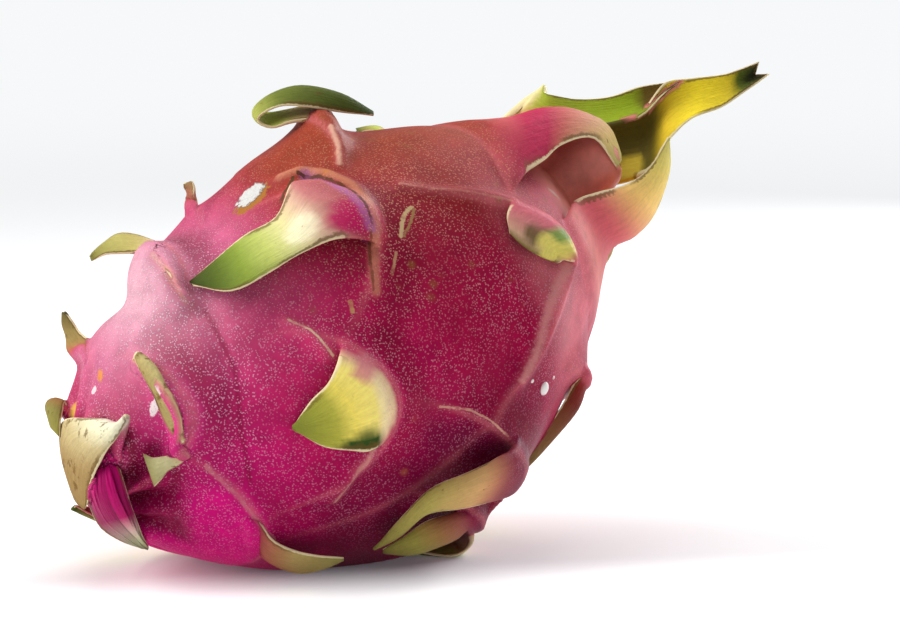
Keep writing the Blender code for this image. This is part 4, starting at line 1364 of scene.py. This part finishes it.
# %% Lines and spots on the rind
LINES = {
    # colour, half width in mm, strength, raggedness, then the chain of (z, around) points, or the
    # name of the ridge whose chain it follows
    "tan lip": ((0.62, 0.27, 0.13), 1.3, 0.55, 0.5, "lip round the broad leaf"),
    "violet lining": (
        (0.42, 0.14, 0.36), 1.5, 0.85, 0.5,
        [(5.9, 22), (6.7, 30), (7, 37.8), (7.2, 42.7), (7, 47.8), (5.9, 52.6)],
    ),
    "torn rim": (
        (0.10, 0.035, 0.012), 0.34, 0.9, 1.2,
        [(5.2, 20.4), (7.7, 25.9), (8.7, 34.3), (8.6, 41.5), (8.1, 46.8), (6.6, 52.1)],
    ),
    "dark crack down from the leaf": (
        (0.20, 0.06, 0.03), 0.26, 0.8, 0.8, [(5.4, 53.5), (2.7, 58.7), (0.1, 65.1)],
    ),
    "jagged edge of the leaf": (
        (0.08, 0.05, 0.015), 0.45, 0.9, 1.0, [(3.8, 20.3), (0.5, 24.1), (-2, 26.6)],
    ),
    "free edge above the flap": ((0.88, 0.66, 0.44), 0.24, 0.85, 0.8, "free edge above the flap"),
    # painted highlight along the ridge below the flap
    "highlight painted below the flap": ((0.74, 0.38, 0.30), 0.65, 0.55, 0.7, "ridge from the flap"),
    "edge of the arm": (
        (0.82, 0.50, 0.34), 0.26, 0.6, 1.1, [(1.4, 99.6), (7, 104.7), (10.1, 109.8), (12.7, 116.8)],
    ),
    # painted shade in the hollows under the arm, by the flap and behind the broad leaf's crest
    "shade painted under the arm": (
        (0.15, 0.0005, 0.035), 4.6, 0.6, 0.1, [(-1.5, 106.5), (5.0, 112), (9.5, 121)],
    ),
    "shade painted by the flap": (
        (0.17, 0.0008, 0.03), 3.6, 0.45, 0.1, [(-20, 108), (-15, 112), (-8, 112)],
    ),
    "shade painted right of the leaf": ((0.17, 0.002, 0.02), 4.0, 0.5, 0.1, [(9.5, 62), (4, 70), (-2, 77)]),
    # painted highlights along the ridges, down to the rim below the horn
    "highlight painted on the right ridge": ((0.76, 0.36, 0.32), 0.7, 0.5, 0.7, "ridge over the right side"),
    "highlight painted on the shoulder ridge": ((0.72, 0.38, 0.28), 0.3, 0.45, 1.0, "ridge along the shoulder"),
    "highlight painted under the hairpin": ((0.82, 0.50, 0.36), 0.75, 0.7, 0.5, "ridge under the hairpin"),
    "rim below the horn": ((0.72, 0.40, 0.32), 0.7, 0.5, 0.7, "rim below the horn"),
    "pale edge above the floor leaf": (
        (0.70, 0.28, 0.30), 0.34, 0.45, 0.9,
        [(-42.2, 85.9), (-39.8, 100.9), (-38.6, 111.2), (-36, 125.5)],
    ),
    # painted shade in the crease below the horn
    "shade painted in the long crease": (
        (0.20, 0.002, 0.03), 0.8, 0.5, 0.6,
        [(-26.8, 39.8), (-29.2, 62.8), (-34.1, 79.8), (-36.2, 97.8)],
    ),
    "corky scar": (
        (0.66, 0.46, 0.24), 0.4, 1.0, 1.1, [(17.8, 50), (15.5, 51), (13.2, 53.8), (11.4, 56.6)],
    ),
    "corky scar's other side": (
        (0.40, 0.22, 0.09), 0.28, 1.0, 1.2, [(17.9, 50.8), (15.4, 54), (12.2, 56.7)],
    ),
    "thin scar": ((0.55, 0.30, 0.16), 0.32, 0.9, 1.2, [(8.5, 59.7), (6.8, 62.1), (5.3, 64)]),
    "short scar": ((0.55, 0.30, 0.13), 0.45, 0.9, 1.2, [(-4.8, 64.5), (-5.4, 67.1)]),
}
SPOTS = {
    # colour, strength, z, around, half length and half width in mm, turned by degrees
    "brown foot of the crust": ((0.40, 0.16, 0.03), 1.0, -4.8, 15.6, 4.3, 3.1, -8),
    "sap crust": ((0.68, 0.67, 0.64), 1.0, -4.3, 13.6, 3.6, 2.5, -8),
    "orange spot": ((0.75, 0.28, 0.05), 0.9, -48.0, 19.2, 1.0, 1.3, 0),
    "yellow spot": ((0.75, 0.45, 0.08), 0.9, -53.9, -9.4, 1.6, 1.2, 0),
    "pale fleck": ((0.85, 0.62, 0.64), 1.0, -50.2, 18.8, 0.9, 0.5, 60),
    "pale patch by the strip": ((0.88, 0.74, 0.76), 1.0, -44.3, 55.4, 1.5, 1.0, 30),
    "pale spot on the neck": ((0.70, 0.50, 0.42), 0.9, 53.8, 63.5, 1.3, 1.0, 0),
    "brown patch": ((0.24, 0.07, 0.02), 0.5, 24.0, 14.0, 3.5, 1.5, 20),
    "second brown patch": ((0.26, 0.08, 0.03), 0.5, 29.0, 24.0, 2.6, 1.2, 70),
}
SOFT_FROM = 0.6  # lines this wide, in mm, fade out sideways and lie under the dashes


# %% Masks for the lines and spots
def marks(f, ragged, on_rind):
    """(wide, thin): each mark's colour and mask by its name, the soft ones and the sharp."""
    place = f.attribute("chart", "Vector")
    worn = 0.35 + 0.65 * f.step(f.noise(330.0, 2.0), 0.36, 0.52)
    wide, thin = {}, {}
    for name, (colour, width, strength, wildness, chain) in LINES.items():
        chain = RIDGES[chain][0] if isinstance(chain, str) else chain
        away = f.near_chain(place, chain) / width + (ragged - 0.5) * (2.4 * wildness)
        if width < SOFT_FROM:
            thin[name] = colour, f.falling(away, 0.65, 1.2) * worn * strength * on_rind
        else:
            wide[name] = colour, f.falling(away, 0.1, 1.25) * strength * on_rind
    for name, (colour, strength, *spot) in SPOTS.items():
        away = f.near_spot(place, *spot) + (ragged - 0.5) * 1.1
        full_to = 0.85 if strength == 1 else 0.4
        thin[name] = colour, f.falling(away, full_to, 1.1) * strength * on_rind
    return wide, thin


# %% The rind's colour
DASH_CELLS = 2050.0  # cells and noises are counted in turns a metre
DASH_WARP = 0.0011  # metres
DASH_PINK = (1.0, 0.44, 0.66)
DASH_TAN = (0.84, 0.35, 0.18)
DASH_PAINTED_SHEEN = (1.0, 0.86, 0.92)
SPECKLE_BROWN = (0.26, 0.12, 0.02)
SPARK_ORANGE = (0.62, 0.22, 0.05)


def rind_part(f, coat, drift, mottle, wide, thin):
    """(colour, dashes): mottled ground, soft marks, dashes, speckles, then the sharp marks."""
    fleck, speckle = f.attribute("fleck"), f.attribute("speckle")
    bend = f.add(
        "ShaderNodeTexNoise", inputs={"Vector": f.place(), "Scale": 420.0, "Detail": 1.0},
        output="Color",
    )
    warp = f.vector("MULTIPLY_ADD", Vector=bend, Vector_001=(DASH_WARP,) * 3, Vector_002=f.place())
    dashes = f.falling(f.cells(DASH_CELLS, warp), 0.26, 0.40) * fleck
    dashes = dashes * (0.35 + 0.75 * f.step(drift, 0.3, 0.62))
    blotch = f.noise(38.0, 3.0, 0.55)
    ground = f.shade(coat, 0.62 + 0.38 * mottle * 2 + 0.35 * (blotch - 0.5))
    for colour, mask in wide.values():
        ground = f.mix(mask, ground, colour)
    dash_colour = f.mix(speckle, DASH_PINK, DASH_TAN)
    # the painted sheen whitens the dashes on the left side
    dash_colour = f.mix(f.attribute("painted_sheen"), dash_colour, DASH_PAINTED_SHEEN)
    part = f.mix(dashes * 0.95, ground, f.mix(0.7, coat, dash_colour))
    spots = f.falling(f.cells(170.0), 0.05, 0.24) * f.step(f.noise(55.0, 2.0), 0.48, 0.62)
    part = f.mix(spots * speckle * 0.85, part, SPECKLE_BROWN)
    spark = f.falling(f.cells(95.0), 0.03, 0.13) * f.step(f.noise(31.0), 0.5, 0.6) * fleck
    part = f.mix(spark * 0.8, part, SPARK_ORANGE)
    for colour, mask in thin.values():
        part = f.mix(mask, part, colour)
    return part, dashes


# %% The scales' colour
SCORCH_BROWN = (0.16, 0.085, 0.02)
RIM_BROWN = (0.14, 0.075, 0.02)
RIM_PALE = (0.84, 0.72, 0.44)


def scale_part(f, coat, drift, ragged, grain, dry, wrinkled):
    """(colour, veins, grooves): veins and grain, wrinkles, scorched spots and worn rims."""
    flow, edge = f.attribute("flow", "Vector"), f.attribute("edge")

    def along(*stretch):
        return f.vector("MULTIPLY", Vector=flow, Vector_001=stretch)

    veins = f.noise(2.6, 4.0, 0.6, flow)
    grooves = f.step(f.noise(0.5, 1.0, 0.5, along(0.8, 0.9, 1.0)), 0.42, 0.62)
    streaks = f.noise(1.3, 3.0, 0.6, along(0.6, 2.2, 1.0))
    tissue = f.shade(coat, 0.72 + 0.34 * veins + 0.30 * grain)
    # painted shade in the grooves of the wrinkles
    tissue = f.shade(tissue, 1 - 0.42 * wrinkled * grooves)
    tissue = f.shade(tissue, 0.84 + 0.32 * streaks)
    scorch = f.step(f.noise(420.0, 4.0, 0.65) + dry * 0.10, 0.66, 0.76)
    tissue = f.mix(scorch * 0.8, tissue, SCORCH_BROWN)
    brown_rim = f.step(edge + (ragged - 0.5) * 0.30, 0.80, 0.88) * f.step(drift, 0.40, 0.52)
    tissue = f.mix(brown_rim * 0.75, tissue, RIM_BROWN)
    pale_rim = f.step(edge + (ragged - 0.5) * 0.10, 0.93, 0.965)
    return f.mix(pale_rim * 0.85, tissue, RIM_PALE), veins, grooves


# %% Rind and scales together
RIND_BUMP = 0.00026
SCALE_BUMP = 0.00035


def rind_finish():
    """Both colours mixed by leafness, with roughness and bumps from the same masks."""
    f = Finish("rind and scales")
    coat, leaf = f.attribute("coat", "Color"), f.attribute("leafness")
    dry, wrinkled = f.attribute("dryness"), f.attribute("wrinkled")
    ragged, grain = f.noise(900.0, 3.0, 0.7), f.noise(900.0, 3.0, 0.6)
    drift, mottle = f.noise(70.0, 2.0), f.noise(260.0, 4.0, 0.6)
    wide, thin = marks(f, ragged, 1 - leaf)
    rind_colours, dashes = rind_part(f, coat, drift, mottle, wide, thin)
    tissue, veins, grooves = scale_part(f, coat, drift, ragged, grain, dry, wrinkled)
    rough = 0.36 + 0.12 * mottle + 0.12 * leaf + 0.22 * dry
    crust = thin["sap crust"][1]
    height = veins * leaf * 0.6 - wrinkled * grooves * 3.0 + grain * dry * 0.8
    height = height + crust * (0.6 + ragged)
    skin_bump = f.bump(dashes * 0.6 + mottle * 0.5, RIND_BUMP)
    return f.set(
        Base_Color=f.mix(leaf, rind_colours, tissue),
        Roughness=rough,
        Normal=f.bump(height, SCALE_BUMP, 1.0, skin_bump),
        IOR=1.42,
        Specular_IOR_Level=0.08,
    )


mesh.materials.clear()
mesh.materials.append(rind_finish())
print("rind finish:", len(mesh.materials[0].node_tree.nodes), "nodes")

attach(rind, "root")
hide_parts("fruit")

# %% [markdown]
# ## Beads of sap
#
# Where the rind was pricked, sap has dried in white beads. Each is a flattened ball: rings
# whose radius is a sine and whose height is a cosine, set on the rind along its normal.

# %% Sap beads
BEAD_RINGS, BEAD_COLUMNS = 14, 20
# z in mm and around in degrees, then radius and height in mm
BEADS = [(25.9, 117.7, 1.45, 0.75), (22.8, 110.7, 0.45, 0.3), (29.8, 119.1, 0.4, 0.25)]


def bead_grid(z, around, radius, height):
    """Rings of a flattened ball, centred on the rind."""
    here = placed(skin(np.float64(z), np.float64(around)))
    along = placed(skin(np.float64(z + 0.4), np.float64(around))) - here
    sideways = placed(skin(np.float64(z), np.float64(around + 0.6))) - here
    out = np.cross(sideways, along)
    out /= np.linalg.norm(out)
    if out @ (here - placed(np.array([0.0, 0.0, z]))) < 0:
        out = -out
    u = along / np.linalg.norm(along)
    w = np.cross(out, u)
    t = np.linspace(0, np.pi, BEAD_RINGS)[1:-1, None]
    phi = np.arange(BEAD_COLUMNS) * 2 * np.pi / BEAD_COLUMNS
    flat = radius * np.sin(t)
    return here + (
        (flat * np.cos(phi))[..., None] * u
        + (flat * np.sin(phi))[..., None] * w
        + (height * np.cos(t) + 0 * phi)[..., None] * out
    )


beads_bm = bmesh.new()
for bead in BEADS:
    one = tube_mesh("bead", bead_grid(*bead), {})
    beads_bm.from_mesh(one)
    bpy.data.meshes.remove(one)
beads_mesh = bpy.data.meshes.new("sap_beads")
beads_bm.to_mesh(beads_mesh)
beads_bm.free()
beads_mesh.shade_smooth()
sap = new_object("sap_beads", beads_mesh)
finish = Finish("dried sap")
grainy = finish.noise(2200.0, 3.0)
finish.set(
    Base_Color=finish.mix(grainy, (0.86, 0.82, 0.80), (0.93, 0.90, 0.88)),
    Roughness=0.25 + 0.2 * grainy,
)
beads_mesh.materials.append(finish.material)
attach(sap, "root")
print("sap beads:", len(BEADS))

# %% [markdown]
# ## The studio
#
# The fruit lies on a white table in soft daylight from behind and from the left. A wide
# disc is the table: it glows a little in front of the fruit and fades into the pale surround
# far off, where a real studio's table would curve up. Large square lamps stand for the
# windows, and a white world lights the rest, dimmer than it looks, so that the fruit's near
# side keeps its depth.

# %% Table
def disc_mesh(radius, count):
    """A flat disc, as one face."""
    turn = np.arange(count) * 2 * np.pi / count
    ring = np.stack([radius * np.cos(turn), radius * np.sin(turn), 0 * turn], -1)
    made = bpy.data.meshes.new("table")
    made.from_pydata(ring.tolist(), [], [list(range(count))])
    return made


SURROUND = (0.925, 0.94, 0.95)  # the pale grey that table and surround fade into
TABLE_WHITE = (0.88, 0.88, 0.885)
GLOW_BEHIND = (0.05, 0.05, 0.055)
GLOW_IN_FRONT = (0.68, 0.68, 0.70)
GLOW_ON_FRUIT = (0.05, 0.05, 0.05)
FADE_FROM = 0.32  # metres from the middle
TABLE_RADIUS = 6.0  # metres
table = new_object("table", disc_mesh(TABLE_RADIUS, 128))
cloth = Finish("white table")
away = cloth.vector("LENGTH", "Value", Vector=cloth.place())
forward = cloth.vector("DOT_PRODUCT", "Value", Vector=cloth.place(), Vector_001=(0.3, 1.0, 0.0))
in_front = cloth.falling(forward, -0.050, -0.018)
distant = cloth.step(1.0 - FADE_FROM / away, 0.0, 0.95)
seen_glow = cloth.mix(distant, cloth.mix(in_front, GLOW_BEHIND, GLOW_IN_FRONT), SURROUND)
directly = cloth.add("ShaderNodeLightPath", output="Is Camera Ray")
cloth.set(
    Base_Color=cloth.mix(distant, TABLE_WHITE, (0.0, 0.0, 0.0)),
    Roughness=0.6,
    Emission_Color=cloth.mix(directly, GLOW_ON_FRUIT, seen_glow),
    Emission_Strength=1.0,
    Specular_IOR_Level=0.0,
)
table.data.materials.append(cloth.material)
print("table:", len(table.data.vertices), "points")

# %% Lamps and world
FRUIT_AIM = np.array([-5.31, -10.38, 50.70]) * MM


def look(source, target):
    """The rotation that points an object's -Z axis from source at target."""
    return (Vector(target) - Vector(source)).to_track_quat("-Z", "Y").to_euler()


def area_lamp(name, place, size, power, colour):
    """A square lamp of this size in metres, aimed at the fruit."""
    light = bpy.data.lights.new(name, "AREA")
    light.size = size
    light.energy = power
    light.color = colour
    made = bpy.data.objects.new(name, light)
    made.location = place
    made.rotation_euler = look(place, FRUIT_AIM)
    bpy.context.scene.collection.objects.link(made)


LAMPS = {
    # place and size in metres, power in watts, colour
    "window on the left": ((-0.95, 0.38, 0.60), 0.9, 14.0, (1.0, 0.99, 0.97)),
    "sky above": ((0.05, 0.15, 1.1), 0.8, 5.0, (1.0, 1.0, 1.0)),
    "window behind right": ((0.8, 0.4, 0.45), 0.7, 10.5, (0.97, 0.98, 1.0)),
    "room in front": ((-0.5, -1.2, 0.6), 0.9, 1.2, (1.0, 0.98, 0.96)),
}
for name, lamp in LAMPS.items():
    area_lamp(name, *lamp)

world = bpy.data.worlds.new("white surround")
world.use_nodes = True
bpy.context.scene.world = world
world_tree = world.node_tree
seen, lit = world_tree.nodes["Background"], world_tree.nodes.new("ShaderNodeBackground")
for background, colour, strength in ((seen, SURROUND, 1.0), (lit, (1.0, 1.0, 1.0), 0.30)):
    background.inputs["Color"].default_value = (*colour, 1.0)
    background.inputs["Strength"].default_value = strength
path = world_tree.nodes.new("ShaderNodeLightPath")
choice = world_tree.nodes.new("ShaderNodeMixShader")
for start, end in (
    (path.outputs["Is Camera Ray"], choice.inputs["Fac"]),
    (lit.outputs[0], choice.inputs[1]),
    (seen.outputs[0], choice.inputs[2]),
    (choice.outputs[0], world_tree.nodes["World Output"].inputs["Surface"]),
):
    world_tree.links.new(start, end)
bpy.context.scene.view_settings.view_transform = "Standard"

# %% Camera
CAMERA_PLACE = np.array([-214.16, -438.59, 109.20]) * MM
LENS, SENSOR_WIDTH = 90.566, 36.0  # mm
camera = bpy.data.objects.new("camera", bpy.data.cameras.new("camera"))
camera.data.lens = LENS
camera.data.sensor_width = SENSOR_WIDTH
camera.data.clip_start = 0.01
camera.location = CAMERA_PLACE
camera.rotation_euler = look(CAMERA_PLACE, FRUIT_AIM)
bpy.context.scene.collection.objects.link(camera)
bpy.context.scene.camera = camera
print("camera", round(float(np.linalg.norm(CAMERA_PLACE - FRUIT_AIM)), 3), "m from the fruit")
